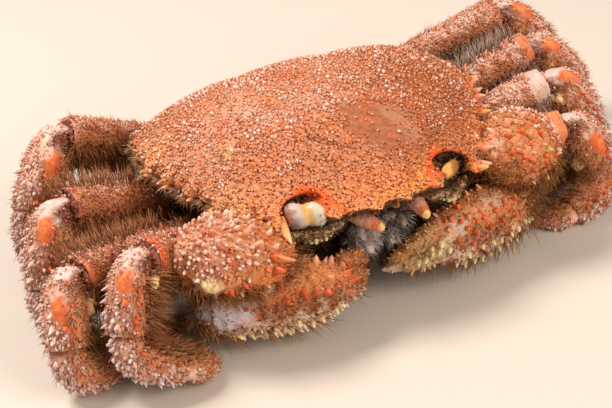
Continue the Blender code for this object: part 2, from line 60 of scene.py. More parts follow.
# The crab is drawn in millimetres in its own frame: it faces -y and its left side is +x.
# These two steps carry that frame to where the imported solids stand.
bellyLow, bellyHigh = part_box("thorax")
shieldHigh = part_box("carapace")[1]
offset = np.array([(bellyLow.x + bellyHigh.x) * 500, shieldHigh.y * 1000 - 48.516, 0.0])


def toMetres(points):
    return (np.asarray(points, float) + offset) * 0.001


# colour and number helpers

def hexLinear(code):  # sRGB hex to linear light
    srgb = np.array([int(code[i:i + 2], 16) / 255 for i in (1, 3, 5)])
    return np.where(srgb <= 0.04045, srgb / 12.92, ((srgb + 0.055) / 1.055) ** 2.4)


def smooth(low, high, x):  # 0 below low, 1 above high, an easy slope between
    t = np.clip((x - low) / (high - low), 0, 1)
    return t * t * (3 - 2 * t)


def tint(base, code, share):  # lays a colour over an array of colours by a share of 0 to 1
    share = np.clip(share, 0, 1)[..., None]
    return base * (1 - share) + hexLinear(code) * share


def wash(code, grid):  # one colour at every place of a grid
    return np.broadcast_to(hexLinear(code), grid.shape).copy()


def layer(pigment, *layers):  # lays several colours over one another, each by its own share
    for code, share in layers:
        pigment = tint(pigment, code, share)
    return pigment


def unit(vectors):
    return vectors / np.maximum(np.linalg.norm(vectors, axis=-1, keepdims=True), 1e-9)


def readTable(table, x, column=1):  # a smooth cubic through the rows of a table, read at every x
    xs = np.array([row[0] for row in table], float)
    ys = np.array([row[column] for row in table], float)
    ahead, behind = np.minimum(np.arange(len(xs)) + 1, len(xs) - 1), np.maximum(np.arange(len(xs)) - 1, 0)
    slopes = (ys[ahead] - ys[behind]) / (xs[ahead] - xs[behind])
    x = np.clip(x, xs[0], xs[-1])
    i = np.clip(np.searchsorted(xs, x, side="right") - 1, 0, len(xs) - 2)
    width = xs[i + 1] - xs[i]
    t = (x - xs[i]) / width
    return ((2 * t**3 - 3 * t**2 + 1) * ys[i] + (t**3 - 2 * t**2 + t) * width * slopes[i]
            + (3 * t**2 - 2 * t**3) * ys[i + 1] + (t**3 - t**2) * width * slopes[i + 1])


def mottle(points, period, seed):
    # a sum of nine sine waves in random directions: soft blotches, about -1 to 1
    rng = np.random.default_rng(seed)
    total = np.zeros(points.shape[:-1])
    for _ in range(9):
        direction = unit(rng.normal(size=3)) * 2 * pi / period * rng.uniform(0.6, 1.7)
        total += np.sin(points @ direction + rng.uniform(0, 2 * pi))
    return total / 3


def segmentDistance(points, a, b):
    # distance from each point to the straight line from a to b, seen from above
    a, b = np.array(a, float), np.array(b, float)
    run = np.clip(((points[..., :2] - a) @ (b - a)) / ((b - a) @ (b - a)), 0, 1)
    return np.linalg.norm(points[..., :2] - a - run[..., None] * (b - a), axis=-1)


# meshes

def keepInside(points):  # above the floor and inside the solids' box
    low, high = (np.array(corner) * 1000 - offset for corner in cadBox)
    return np.clip(points, low + 0.02, high - 0.02)


def loadMesh(name, points, faceSets, colours=None, grain=None, uv=None):
    # vertices, polygons and corner data go in as whole arrays
    mesh = bpy.data.meshes.new(name)
    corners = np.concatenate([faces.ravel() for faces in faceSets]).astype(np.int32)
    sizes = np.concatenate([np.full(len(faces), faces.shape[1]) for faces in faceSets])
    starts = np.concatenate([[0], np.cumsum(sizes)[:-1]]).astype(np.int32)
    mesh.vertices.add(len(points))
    mesh.vertices.foreach_set("co", toMetres(points).astype(np.float32).ravel())
    mesh.loops.add(len(corners))
    mesh.loops.foreach_set("vertex_index", corners)
    mesh.polygons.add(len(starts))
    mesh.polygons.foreach_set("loop_start", starts)
    mesh.polygons.foreach_set("use_smooth", np.ones(len(starts), bool))
    mesh.update(calc_edges=True)
    if colours is not None:
        data = mesh.attributes.new("pigment", "FLOAT_COLOR", "POINT").data
        data.foreach_set("color", np.concatenate([colours, np.ones((len(points), 1))],
                                                 axis=1).astype(np.float32).ravel())
    if grain is not None:
        mesh.attributes.new("grain", "FLOAT", "POINT").data.foreach_set("value", grain.astype(np.float32))
    if uv is not None:
        mesh.uv_layers.new(name="OFBake").data.foreach_set("uv", uv[corners].astype(np.float32).ravel())
    return mesh


def addPiece(name, mesh, material, nodes=()):
    piece = bpy.data.objects.new(name, mesh)
    bpy.context.scene.collection.objects.link(piece)
    mesh.materials.append(material)
    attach(piece, "root")
    if nodes:
        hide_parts(*nodes)
    return piece


def gridNormals(grid):  # the cross product of the steps along rows and around columns, turned outwards
    around = np.roll(grid, -1, axis=1) - np.roll(grid, 1, axis=1)
    along = np.gradient(grid, axis=0)
    normals = unit(np.cross(around, along))
    middle = grid.reshape(-1, 3).mean(axis=0)
    return normals * (1 if np.sum((grid - middle) * normals) > 0 else -1)


def gridFaces(rows, columns, flip):
    # quads between neighbouring rows, and a fan to one extra point at each end
    r, c = np.meshgrid(np.arange(rows - 1), np.arange(columns), indexing="ij")
    a, b = r * columns + c, r * columns + (c + 1) % columns
    quads = np.stack([a, b, b + columns, a + columns], axis=-1).reshape(-1, 4)
    c = np.arange(columns)
    first = np.stack([(c + 1) % columns, c, np.full(columns, rows * columns)], axis=-1)
    top = (rows - 1) * columns
    last = np.stack([top + c, top + (c + 1) % columns, np.full(columns, rows * columns + 1)], axis=-1)
    fans = np.concatenate([first, last])
    return [quads[:, ::-1], fans[:, ::-1]] if flip else [quads, fans]


def addSurface(name, surface, material, nodes):
    # a closed grid: its two end rows are shut by fans to their middles
    grid = surface["grid"]
    rows, columns = grid.shape[:2]
    points = np.concatenate([grid.reshape(-1, 3), grid[[0, -1]].mean(axis=1)])
    around = np.roll(grid, -1, axis=1) - grid
    along = np.roll(grid, -1, axis=0) - grid
    flip = np.sum(np.cross(around, along)[:-1] * surface["normals"][:-1]) < 0
    shades = surface["pigment"]
    colours = np.concatenate([shades.reshape(-1, 3), shades[[0, -1]].mean(axis=1)])
    grain = np.concatenate([surface["grain"].ravel(), surface["grain"][[0, -1]].mean(axis=1)])
    mesh = loadMesh(name, keepInside(points), gridFaces(rows, columns, flip), colours, grain)
    return addPiece(name, mesh, material, nodes)


def makeSurface(grid, pigment, grain, **channels):
    surface = {"grid": grid, "pigment": pigment, "grain": grain, "normals": gridNormals(grid)}
    surface["along"] = unit(np.gradient(grid, axis=0))
    surface.update(channels)
    return surface


# what grows on the shell

wholeMap = (0.0, 0.0, 1.0, 1.0)  # a coat piece's share of its map: low and high corner
patchRadius = 0.0015  # the foot of every spike covers a small disc of the map


def scatter(surface, spacing, seed, chance=None):
    # random places spread over a grid by area and chance, thinned to one in each small cell of space
    rng = np.random.default_rng(seed)
    grid = surface["grid"]
    rows, columns = grid.shape[:2]
    ahead = np.roll(grid, -1, axis=1)
    area = 0.5 * np.linalg.norm(np.cross(ahead[1:] - grid[:-1], grid[1:] - ahead[:-1]), axis=2)
    if chance is not None:
        area = area * np.clip(chance, 0, 1)[:-1]
    total = np.cumsum(area.ravel())
    count = int(total[-1] / spacing**2 * 2.2)
    if count < 1:
        return None
    row, column = np.divmod(np.searchsorted(total, rng.random(count) * total[-1] * 0.999999), columns)
    u, v = rng.random((2, count))

    def at(field):
        wide = field.ndim == 3
        s, t = (u[:, None], v[:, None]) if wide else (u, v)
        nextColumn = (column + 1) % columns
        return ((1 - t) * ((1 - s) * field[row, column] + s * field[row, nextColumn])
                + t * ((1 - s) * field[row + 1, column] + s * field[row + 1, nextColumn]))

    places = at(grid)
    for shift in (0.0, 0.5):
        cell = np.floor(places / (spacing * 0.86) + shift).astype(np.int64)
        keep = np.sort(np.unique(cell, axis=0, return_index=True)[1])
        row, column, u, v, places = row[keep], column[keep], u[keep], v[keep], places[keep]
    roots = {"place": places, "normal": unit(at(surface["normals"])), "along": unit(at(surface["along"])),
             "pigment": at(surface["pigment"]),
             "uv": np.stack([(column + u) / columns, (row + v) / rows], axis=1)}
    for name in surface:
        if name not in ("grid", "normals", "along", "pigment"):
            roots[name] = at(surface[name])
    return roots


def pick(rng, count, palette):
    # one colour for each place, by its share in the palette, a little lighter or darker
    codes, shares = zip(*palette)
    index = rng.choice(len(codes), size=count, p=np.array(shares) / sum(shares))
    colours = np.array([hexLinear(code) for code in codes])[index]
    return colours * rng.uniform(0.8, 1.2, (count, 1))


def grow(roots, tall, wide, profile, sides, lean, curl, foot, tip, corner=wholeMap):
    # A spike at each root. Its axis is the normal plus a lean, and it bends by curl times the square of its
    # height. Rings of the profile's widths stand along it, closed at the foot and pointed at the tip.
    count = len(roots["place"])
    tall, wide = (np.broadcast_to(tall, count)[:, None, None],
                  np.broadcast_to(wide, count)[:, None, None, None])
    axis = unit(roots["normal"] + lean)
    side = unit(np.cross(axis, roots["along"] + roots["normal"] * 0.01))
    other = np.cross(axis, side)
    heights = np.array([row[0] for row in profile])[None, :, None]
    widths = np.array([row[1] for row in profile])[None, :, None, None]
    angle = 2 * pi * (np.arange(sides) + 0.5) / sides
    ring = np.cos(angle)[None, :, None] * side[:, None] + np.sin(angle)[None, :, None] * other[:, None]
    curl = np.broadcast_to(curl, axis.shape)
    middle = (roots["place"][:, None] + axis[:, None] * tall * heights
              + curl[:, None] * tall * np.clip(heights, 0, 1)**2)
    body = (middle[:, :, None] + ring[:, None] * wide * widths).reshape(count, -1, 3)
    top = roots["place"][:, None] + (axis + curl)[:, None] * tall
    points = np.concatenate([body, top], axis=1)
    share = np.repeat(np.clip(heights[0, :, 0], 0, 1), sides)
    share = np.append(share, 1.0)[None, :, None]
    colours = foot[:, None] * (1 - share) + tip[:, None] * share
    patch = np.append(np.tile(angle, len(profile)), 0.0)
    radius = patchRadius * (1 - 0.9 * share[0, :, 0])
    low, high = np.array(corner[:2]), np.array(corner[2:])
    shifts = np.stack([np.cos(patch), np.sin(patch)], axis=1) * radius[:, None]
    uv = (low + (high - low) * roots["uv"])[:, None] + shifts
    s = np.arange(sides)
    following = (s + 1) % sides
    quads = [r * sides + np.stack([s, following, sides + following, sides + s], axis=1)
             for r in range(len(profile) - 1)]
    last = (len(profile) - 1) * sides
    tips = np.stack([last + s, last + following, np.full(sides, last + sides)], axis=1)
    faces = [np.concatenate(quads)] if quads else []
    return {"points": points, "faces": faces + [tips, s[::-1][None]], "colours": colours, "uv": uv}


def addCoat(name, batches, material):
    # joins batches of spikes in one mesh, kept above the floor and inside the solids' box
    points, colours, uv, faces, base = [], [], [], [], 0
    for batch in batches:
        count, size = batch["points"].shape[:2]
        points.append(batch["points"].reshape(-1, 3))
        colours.append(np.clip(batch["colours"], 0, 1).reshape(-1, 3))
        uv.append(batch["uv"].reshape(-1, 2))
        for template in batch["faces"]:
            first = base + np.arange(count)[:, None, None] * size
            faces.append((first + template[None]).reshape(-1, template.shape[1]))
        base += count * size
    mesh = loadMesh(name, keepInside(np.concatenate(points)), faces, np.concatenate(colours), None,
                    np.concatenate(uv))
    triangles = sum(len(face) * (face.shape[1] - 2) for face in faces)
    print(f"{name}: {triangles} triangles")
    return addPiece(name, mesh, material)


dome = ((-0.3, 1.0), (0.45, 0.88), (0.85, 0.5))  # a blunt granule
bead = ((-0.3, 1.0), (0.55, 0.82))  # the same with fewer faces
ball = ((-0.25, 0.85), (0.2, 1.0), (0.6, 0.86), (0.88, 0.5))
spike = ((-0.15, 1.05), (0.25, 0.8), (0.6, 0.5), (0.88, 0.22))
peg = ((-0.3, 1.0),)
hair = ((-0.1, 1.0), (0.45, 0.7))
longHair = ((-0.05, 1.0), (0.3, 0.9), (0.65, 0.6))


def granules(surface, look, seed, chance=None, corner=wholeMap):
    # Blunt or pointed grains of shell, each mostly its own colour and partly that of the shell round it.
    # Close beside each may stand a short three-sided peg, red-brown, as the base of a bristle.
    roots = scatter(surface, look["spacing"], seed, chance)
    if roots is None or not len(roots["place"]):
        return []
    rng = np.random.default_rng(seed + 1)
    count = len(roots["place"])
    colours = pick(rng, count, look["palette"]) * (1 - look["blend"]) + roots["pigment"] * look["blend"]
    size = look["size"] * rng.uniform(0.65, 1.3, count)
    lean = roots["along"] * look.get("lean", 0.3) + rng.normal(size=(count, 3)) * 0.15
    foot = colours * 0.55 + roots["pigment"] * 0.3
    made = [grow(roots, size * look.get("height", 1.0), size * 0.55, look.get("profile", bead),
                 look.get("sides", 5), lean, lean * 0, foot, colours, corner)]
    if "pegs" in look:
        turn = rng.uniform(0, 2 * pi, (count, 1))
        side = unit(np.cross(roots["normal"], roots["along"] + 0.01))
        beside = np.cos(turn) * side + np.sin(turn) * np.cross(roots["normal"], side)
        roots = {**roots, "place": roots["place"] + beside * look["spacing"] * 0.48}
        shade = pick(rng, count, look["pegs"])
        lean = roots["along"] * 0.5 + rng.normal(size=(count, 3)) * 0.3
        made.append(grow(roots, rng.uniform(0.5, 1.1, count) * look["pegHeight"], look["pegWidth"], peg, 3,
                         lean, lean * 0, shade, shade * 1.15, corner))
    return made


def bristles(surface, look, seed, chance=None, corner=wholeMap, flow=None):
    # tufts of bent three-sided bristles: every root bears a few, fanned out and leaning along the limb
    roots = scatter(surface, look["spacing"], seed, chance)
    if roots is None or not len(roots["place"]):
        return []
    rng = np.random.default_rng(seed + 1)
    each = look["each"]
    roots = {key: np.repeat(value, each, axis=0) for key, value in roots.items()}
    count = len(roots["place"])
    along = roots["along"]
    if flow is not None:
        along = unit(np.broadcast_to(np.array(flow, float), (count, 3)) + along * 0.2)
    lean = along * look["lean"] + rng.normal(size=(count, 3)) * look["spread"]
    curl = along * look["curl"] + rng.normal(size=(count, 3)) * look["curl"] * 0.5
    curl[:, 2] -= look.get("droop", 0.0)
    tall = look["length"] * rng.uniform(0.55, 1.3, count)
    blend = look.get("blend", 0.0)
    tip = pick(rng, count, look["tips"]) * (1 - blend) + roots["pigment"] * blend
    foot = pick(rng, count, look["feet"]) * (1 - blend) + roots["pigment"] * blend * 0.6
    return [grow(roots, tall, look["width"] * rng.uniform(0.8, 1.2, count), look.get("profile", hair), 3,
                 lean, curl, foot, tip, corner)]


# materials

def addNode(tree, kind, settings=None, **links):
    # one shader node, its settings, and links or values for its sockets: i0 is the first one
    node = tree.nodes.new("ShaderNode" + kind)
    for key, value in (settings or {}).items():
        setattr(node, key, value)
    for key, value in links.items():
        socket = node.inputs[int(key[1:]) if key[0] == "i" and key[1:].isdigit() else key.replace("_", " ")]
        if isinstance(value, bpy.types.NodeSocket):
            tree.links.new(value, socket)
        else:
            socket.default_value = value
    return node


def multiply(tree, **links):
    return addNode(tree, "Math", {"operation": "MULTIPLY"}, **links)


def mixColours(tree, share, base, code):  # lays one colour over another by a share
    return addNode(tree, "Mix", {"data_type": "RGBA"}, i0=share, i6=base, i7=rgba(code))


def rgba(code):
    return (*hexLinear(code), 1.0)


def newMaterial(name, roughness, specular=0.5):
    material = bpy.data.materials.new(name)
    material.use_nodes = True
    shader = material.node_tree.nodes["Principled BSDF"]
    shader.inputs["Roughness"].default_value = roughness
    shader.inputs["Specular IOR Level"].default_value = specular
    return material, material.node_tree, shader


def boiledShell(name, look):
    # Boiled chitin: a dull, finely pitted shell. The surface's own colours carry the large markings and the
    # painted shade and highlights. Cells about a millimetre across give pale grains and red-brown pits where
    # the
    # "grain" attribute is high, and a coarse and a fine noise break up the rest.
    material, tree, shader = newMaterial(name, look["roughness"], 0.4)
    place = addNode(tree, "TexCoord").outputs["Object"]
    pigment = addNode(tree, "Attribute", {"attribute_name": "pigment"}).outputs["Color"]
    grain = addNode(tree, "Attribute", {"attribute_name": "grain"}).outputs["Fac"]
    cells = {"feature": "F1"}
    cell = addNode(tree, "TexVoronoi", cells, Vector=place, Scale=1000 / look["cell"], Randomness=0.9)
    pit = addNode(tree, "TexVoronoi", cells, Vector=place, Scale=1000 / look["pit"], Randomness=1.0)
    blotch = addNode(tree, "TexNoise", None, Vector=place, Scale=1000 / 4.5, Detail=4.0, Roughness=0.65)
    fine = addNode(tree, "TexNoise", None, Vector=place, Scale=1000 / 0.7, Detail=2.0, Roughness=0.6)
    paleShare = addNode(tree, "MapRange", None, Value=cell.outputs["Distance"], i1=0.34, i2=0.12, i3=0.0,
                        i4=look["pale"])
    paleShare = multiply(tree, i0=paleShare.outputs[0], i1=grain)
    pitShare = addNode(tree, "MapRange", None, Value=pit.outputs["Distance"], i1=0.32, i2=0.14, i3=0.0,
                       i4=look["dark"])
    pitShare = multiply(tree, i0=pitShare.outputs[0], i1=grain)
    warm = addNode(tree, "MapRange", None, Value=blotch.outputs[0], i1=0.45, i2=0.72, i3=0.0, i4=0.55)
    colour = mixColours(tree, warm.outputs[0], pigment, look["blotchHex"])
    colour = mixColours(tree, paleShare.outputs[0], colour.outputs[2], look["paleHex"])
    colour = mixColours(tree, pitShare.outputs[0], colour.outputs[2], look["pitHex"])
    dim = addNode(tree, "MapRange", None, Value=fine.outputs[0], i1=0.3, i2=0.75, i3=0.78, i4=1.18)
    colour = addNode(tree, "VectorMath", {"operation": "SCALE"}, i0=colour.outputs[2], Scale=dim.outputs[0])
    tree.links.new(colour.outputs[0], shader.inputs["Base Color"])
    height = addNode(tree, "Math", {"operation": "MULTIPLY_ADD"}, i0=paleShare.outputs[0], i1=1.0,
                     i2=fine.outputs[0])
    height = addNode(tree, "Math", {"operation": "SUBTRACT"}, i0=height.outputs[0], i1=pitShare.outputs[0])
    bump = addNode(tree, "Bump", None, Strength=look["bump"], Distance=0.0005, Height=height.outputs[0])
    tree.links.new(bump.outputs[0], shader.inputs["Normal"])
    return material


def growth(name, roughness, specular=0.35):
    # Grains, spines and bristles of chitin: each has its own colour from foot to tip, broken by a fine noise
    material, tree, shader = newMaterial(name, roughness, specular)
    place = addNode(tree, "TexCoord").outputs["Object"]
    pigment = addNode(tree, "Attribute", {"attribute_name": "pigment"}).outputs["Color"]
    fine = addNode(tree, "TexNoise", None, Vector=place, Scale=1000 / 0.9, Detail=2.0)
    dim = addNode(tree, "MapRange", None, Value=fine.outputs[0], i1=0.3, i2=0.7, i3=0.85, i4=1.15)
    colour = addNode(tree, "VectorMath", {"operation": "SCALE"}, i0=pigment, Scale=dim.outputs[0])
    tree.links.new(colour.outputs[0], shader.inputs["Base Color"])
    return material


shellFinish = boiledShell("boiled carapace shell", {
    "roughness": 0.5, "cell": 1.35, "pit": 1.25, "pale": 0.55, "dark": 0.75, "bump": 0.5,
    "blotchHex": "#D9733A", "paleHex": "#F2CBB2", "pitHex": "#8E3512"})
legFinish = boiledShell("boiled leg shell", {
    "roughness": 0.5, "cell": 1.3, "pit": 1.2, "pale": 0.5, "dark": 0.6, "bump": 0.5,
    "blotchHex": "#C9795A", "paleHex": "#EBCFC6", "pitHex": "#9A4222"})
clawFinish = boiledShell("boiled claw shell", {
    "roughness": 0.48, "cell": 1.6, "pit": 1.3, "pale": 0.4, "dark": 0.6, "bump": 0.5,
    "blotchHex": "#C66A2C", "paleHex": "#EFC6A4", "pitHex": "#7E3413"})
grainFinish = growth("shell granules", 0.42, 0.5)
bristleFinish = growth("chitin bristles", 0.55, 0.3)
print("materials made")


# camera, floor and lights

viewpoint = {"azimuth": -24.0, "elevation": 31.0, "roll": -4.0, "distance": 398.5,
             "target": (-20.9, -41.8, 38.0), "focalPixels": 1500.0, "frameWidth": 612}


def setCamera(view):
    azimuth, elevation, roll = (math.radians(view[k]) for k in ("azimuth", "elevation", "roll"))
    back = np.array([math.sin(azimuth) * math.cos(elevation), -math.cos(azimuth) * math.cos(elevation),
                     math.sin(elevation)])
    right = unit(np.cross(-back, [0, 0, 1]))
    up = np.cross(right, -back)
    across = math.cos(roll) * right + math.sin(roll) * up
    upward = -math.sin(roll) * right + math.cos(roll) * up
    data = bpy.data.cameras.new("camera")
    data.sensor_width = 36.0
    data.lens = view["focalPixels"] * 36.0 / view["frameWidth"]
    data.clip_start, data.clip_end = 0.01, 20.0
    camera = bpy.data.objects.new("camera", data)
    bpy.context.scene.collection.objects.link(camera)
    place = toMetres(np.array(view["target"]) + back * view["distance"])
    columns = np.stack([across, upward, back, place], axis=1)
    camera.matrix_world = Matrix([*map(list, columns), [0, 0, 0, 1]])
    bpy.context.scene.camera = camera


def addLight(name, place, aim, size, power, code):
    data = bpy.data.lights.new(name, "AREA")
    data.shape, data.size, data.energy = "DISK", size, power
    data.color = hexLinear(code)
    light = bpy.data.objects.new(name, data)
    light.location = place
    light.rotation_euler = (Vector(aim) - Vector(place)).to_track_quat("-Z", "Y").to_euler()
    bpy.context.scene.collection.objects.link(light)


def setStage():
    half = 3000  # the floor is a square six metres wide
    corners = np.array([[-half, -half, 0], [half, -half, 0], [half, half, 0], [-half, half, 0]]) - offset
    floor = bpy.data.objects.new("floor", loadMesh("floor", corners, [np.array([[0, 1, 2, 3]])]))
    bpy.context.scene.collection.objects.link(floor)
    material, _, shader = newMaterial("pale painted board", 0.75, 0.3)
    shader.inputs["Base Color"].default_value = rgba("#D8D1C9")
    floor.data.materials.append(material)
    world = bpy.data.worlds.new("studio")
    world.use_nodes = True
    sky = world.node_tree.nodes["Background"].inputs
    sky["Color"].default_value, sky["Strength"].default_value = rgba("#F4EADF"), 0.38
    bpy.context.scene.world = world
    addLight("key", (-0.35, 0.25, 0.75), (0.0, 0.0, 0.03), 0.35, 8.0, "#FFF2E6")
    addLight("fill", (0.35, -0.7, 0.5), (0.0, 0.0, 0.03), 0.6, 6.2, "#FFEEDE")
    bpy.context.scene.view_settings.view_transform = "Standard"


setCamera(viewpoint)
setStage()
print("camera, floor and lights set")


# the shield

shield = {
    "halfWidth": 51.0, "halfLength": 52.0, "underside": 21.8,
    "margin": ((0.0, -0.962), (0.157, -0.971), (0.294, -0.942), (0.412, -0.885), (0.549, -0.856),
               (0.686, -0.712), (0.804, -0.538), (0.922, -0.269), (0.99, -0.02), (0.975, 0.173),
               (0.902, 0.375), (0.755, 0.596), (0.559, 0.769), (0.373, 0.875), (0.176, 0.923), (0.0, 0.933)),
    "marginRise": ((-52.0, 37.5), (-44.0, 35.5), (-20.0, 37.5), (0.0, 39.0), (15.0, 38.0), (30.0, 33.0),
                   (48.5, 25.0)),
    "crownRise": ((-52.0, 38.5), (-44.0, 42.5), (-34.0, 47.0), (-20.0, 51.5), (-8.0, 53.5), (6.0, 53.5),
                  (20.0, 49.5), (34.0, 41.5), (48.5, 26.0)),
    # teeth of one side: place along the margin's steps, length, half width, share turned forward
    "teeth": ((0.55, 3.2, 2.4, 1.5), (2.05, 2.6, 2.2, 1.2), (4.3, 4.0, 2.2, 1.0), (5.2, 2.9, 2.2, 0.5),
              (5.55, 1.5, 1.2, 0.4), (5.95, 3.1, 2.3, 0.5), (6.3, 1.5, 1.2, 0.4), (6.65, 3.3, 2.4, 0.5),
              (6.95, 1.6, 1.2, 0.4), (7.25, 3.3, 2.4, 0.5), (7.5, 1.5, 1.2, 0.3), (7.8, 3.9, 2.6, 0.5),
              (8.15, 1.5, 1.2, 0.2), (8.45, 2.4, 1.7, 0.2), (8.8, 1.4, 1.1, 0.1), (9.15, 1.9, 1.4, 0.1),
              (9.5, 1.2, 1.0, 0.0), (9.85, 1.6, 1.3, 0.0), (10.4, 1.2, 1.0, 0.0)),
    "orbit": (22.4, -42.8, 36.2), "orbitAxis": (1.0, -0.25, -0.12), "orbitRadii": (6.9, 5.0, 5.2),
    # swellings of the regions of one side: middle x and y, reach along x and y, height
    "regions": ((0.0, -20.0, 12.0, 8.0, 0.8), (0.0, 10.0, 10.0, 10.0, 1.0), (15.0, -30.0, 8.0, 7.0, 0.8),
                (38.0, -16.0, 9.0, 8.0, 0.9), (27.0, 6.0, 12.0, 17.0, 1.0), (18.0, 30.0, 9.0, 7.0, 0.7),
                (0.0, 33.0, 8.0, 6.0, 0.6)),
    # furrows between them: start, end, depth, half width
    "furrows": (((29.0, -22.0), (15.0, -9.0), 0.8, 2.6), ((15.0, -9.0), (0.0, -5.0), 0.8, 2.6),
                ((13.0, -3.0), (14.0, 19.0), 0.8, 2.6), ((9.0, 23.0), (0.0, 24.0), 0.6, 2.6)),
    "setDown": 0.6,
    # the long spike at the outer corner of each orbit
    "horn": {"place": (29.6, -43.6, 35.4), "aim": (-0.05, -0.9, -0.42), "length": 7.0, "radius": 2.0},
    # fine creases of this shell: start, end, depth, half width
    "creases": (((-11.8, -25.9), (-0.7, -33.2), 0.4, 0.45), ((-24.1, -18.8), (-15.4, -23.6), 0.2, 0.5),
                ((2.2, -17.6), (11.0, -19.5), 0.3, 0.5), ((11.0, -19.5), (20.2, -22.8), 0.3, 0.5)),
    # stains and pale patches: middle x and y, reach, colour, strength
    "patches": ((-49.0, -1.0, 5.0, "#E8A45A", 0.8), (48.0, -3.0, 4.5, "#D98A3A", 0.6),
                (-33.3, -18.6, 2.6, "#C9A45E", 0.6), (-14.8, -6.6, 3.2, "#DF9448", 0.7),
                (-22.4, -8.3, 4.5, "#E6C4B0", 0.6), (22.0, -6.0, 7.0, "#C98A62", 0.5),
                (-40.5, -30.0, 3.0, "#D9C08A", 0.6), (13.8, -45.0, 3.5, "#F2A941", 0.6)),
}


def marginAt(turn):  # the outline seen from above, mirrored, by share of the way round from the front
    half = (turn % 1.0) * 2
    side = np.where(half > 1, -1.0, 1.0)
    half = np.where(half > 1, 2 - half, half)
    steps = np.linspace(0, 1, len(shield["margin"]))
    x = readTable([(s, p[0]) for s, p in zip(steps, shield["margin"])], half)
    y = readTable([(s, p[1]) for s, p in zip(steps, shield["margin"])], half)
    return side * x * shield["halfWidth"], y * shield["halfLength"]


def orbitFrame(side):  # middle, and the three axes divided by the radii of the hollow for one eye
    middle = np.array(shield["orbit"]) * (side, 1, 1) + ((0.5, 0, 0) if side > 0 else (0, 0, 0))
    first = unit(np.array(shield["orbitAxis"]) * (side, 1, 1))
    second = unit(np.cross([0, 0, 1], first))
    radii = np.array(shield["orbitRadii"]) * (0.84 if side > 0 else 1.0, 1, 1)
    axes = np.stack([first, second, np.cross(first, second)]) / radii[:, None]
    return middle, axes


def hollowOrbits(grid):
    # a point inside an orbit's ellipsoid moves straight back to its far wall: |q + s d| = 1 solved for s
    for side in (-1, 1):
        middle, axes = orbitFrame(side)
        q = (grid - middle) @ axes.T
        d = axes @ np.array([0.0, 1.0, 0.0])
        a, b, c = d @ d, q @ d, np.sum(q * q, axis=-1) - 1
        s = (-b + np.sqrt(np.maximum(b * b - a * c, 0))) / a
        grid[..., 1] += np.where(c < 0, s, 0)
    return grid


def addTeeth(grid, edge, turn, x, y):
    # the margin is drawn out by each tooth, most at the edge and not at all 5 mm inside it, and left ragged
    reach = np.concatenate([[0], np.cumsum(np.hypot(np.diff(x), np.diff(y)))])
    steps = 2 * (len(shield["margin"]) - 1)
    toothTint = np.zeros(grid.shape[:2])
    ragged = mottle(grid, 2.6, 6) * 0.35 + mottle(grid, 1.2, 7) * 0.25
    for step, length, half, forward in shield["teeth"]:
        for side in (1, -1):
            t = (side * step / steps) % 1.0
            where = np.interp(t, turn, reach)
            tx, ty = marginAt(np.array([t, t + side * 0.004]))
            out = unit(np.array([ty[1] - ty[0], tx[0] - tx[1], 0.0])) * side
            direction = unit(out + np.array([0, -forward, 0.12]))
            near = np.clip(1 - np.abs(reach - where) / (half * 1.25), 0, 1)
            grid += (edge * near ** 1.25 * length)[..., None] * direction
            toothTint = np.maximum(toothTint, edge * near[None] * min(length / 3.0, 1.0))
    grid += (edge * ragged)[..., None] * unit(np.stack([x, y, 0 * x], axis=-1))
    return toothTint


def baldPatch(grid):
    # the smooth lobe on its left of the middle: a soft-edged oval, with the places along and across it
    local = grid[..., :2] - np.array([9.3, -28.4])
    p, q = local @ np.array([0.88, -0.475]), local @ np.array([0.475, 0.88])
    bald = (1 - np.sqrt((p / 12.2) ** 2 + (q / 8.3) ** 2) + mottle(grid, 7.0, 8) * 0.09
            + mottle(grid, 2.4, 12) * 0.05)
    return smooth(-0.05, 0.22, bald), p, q


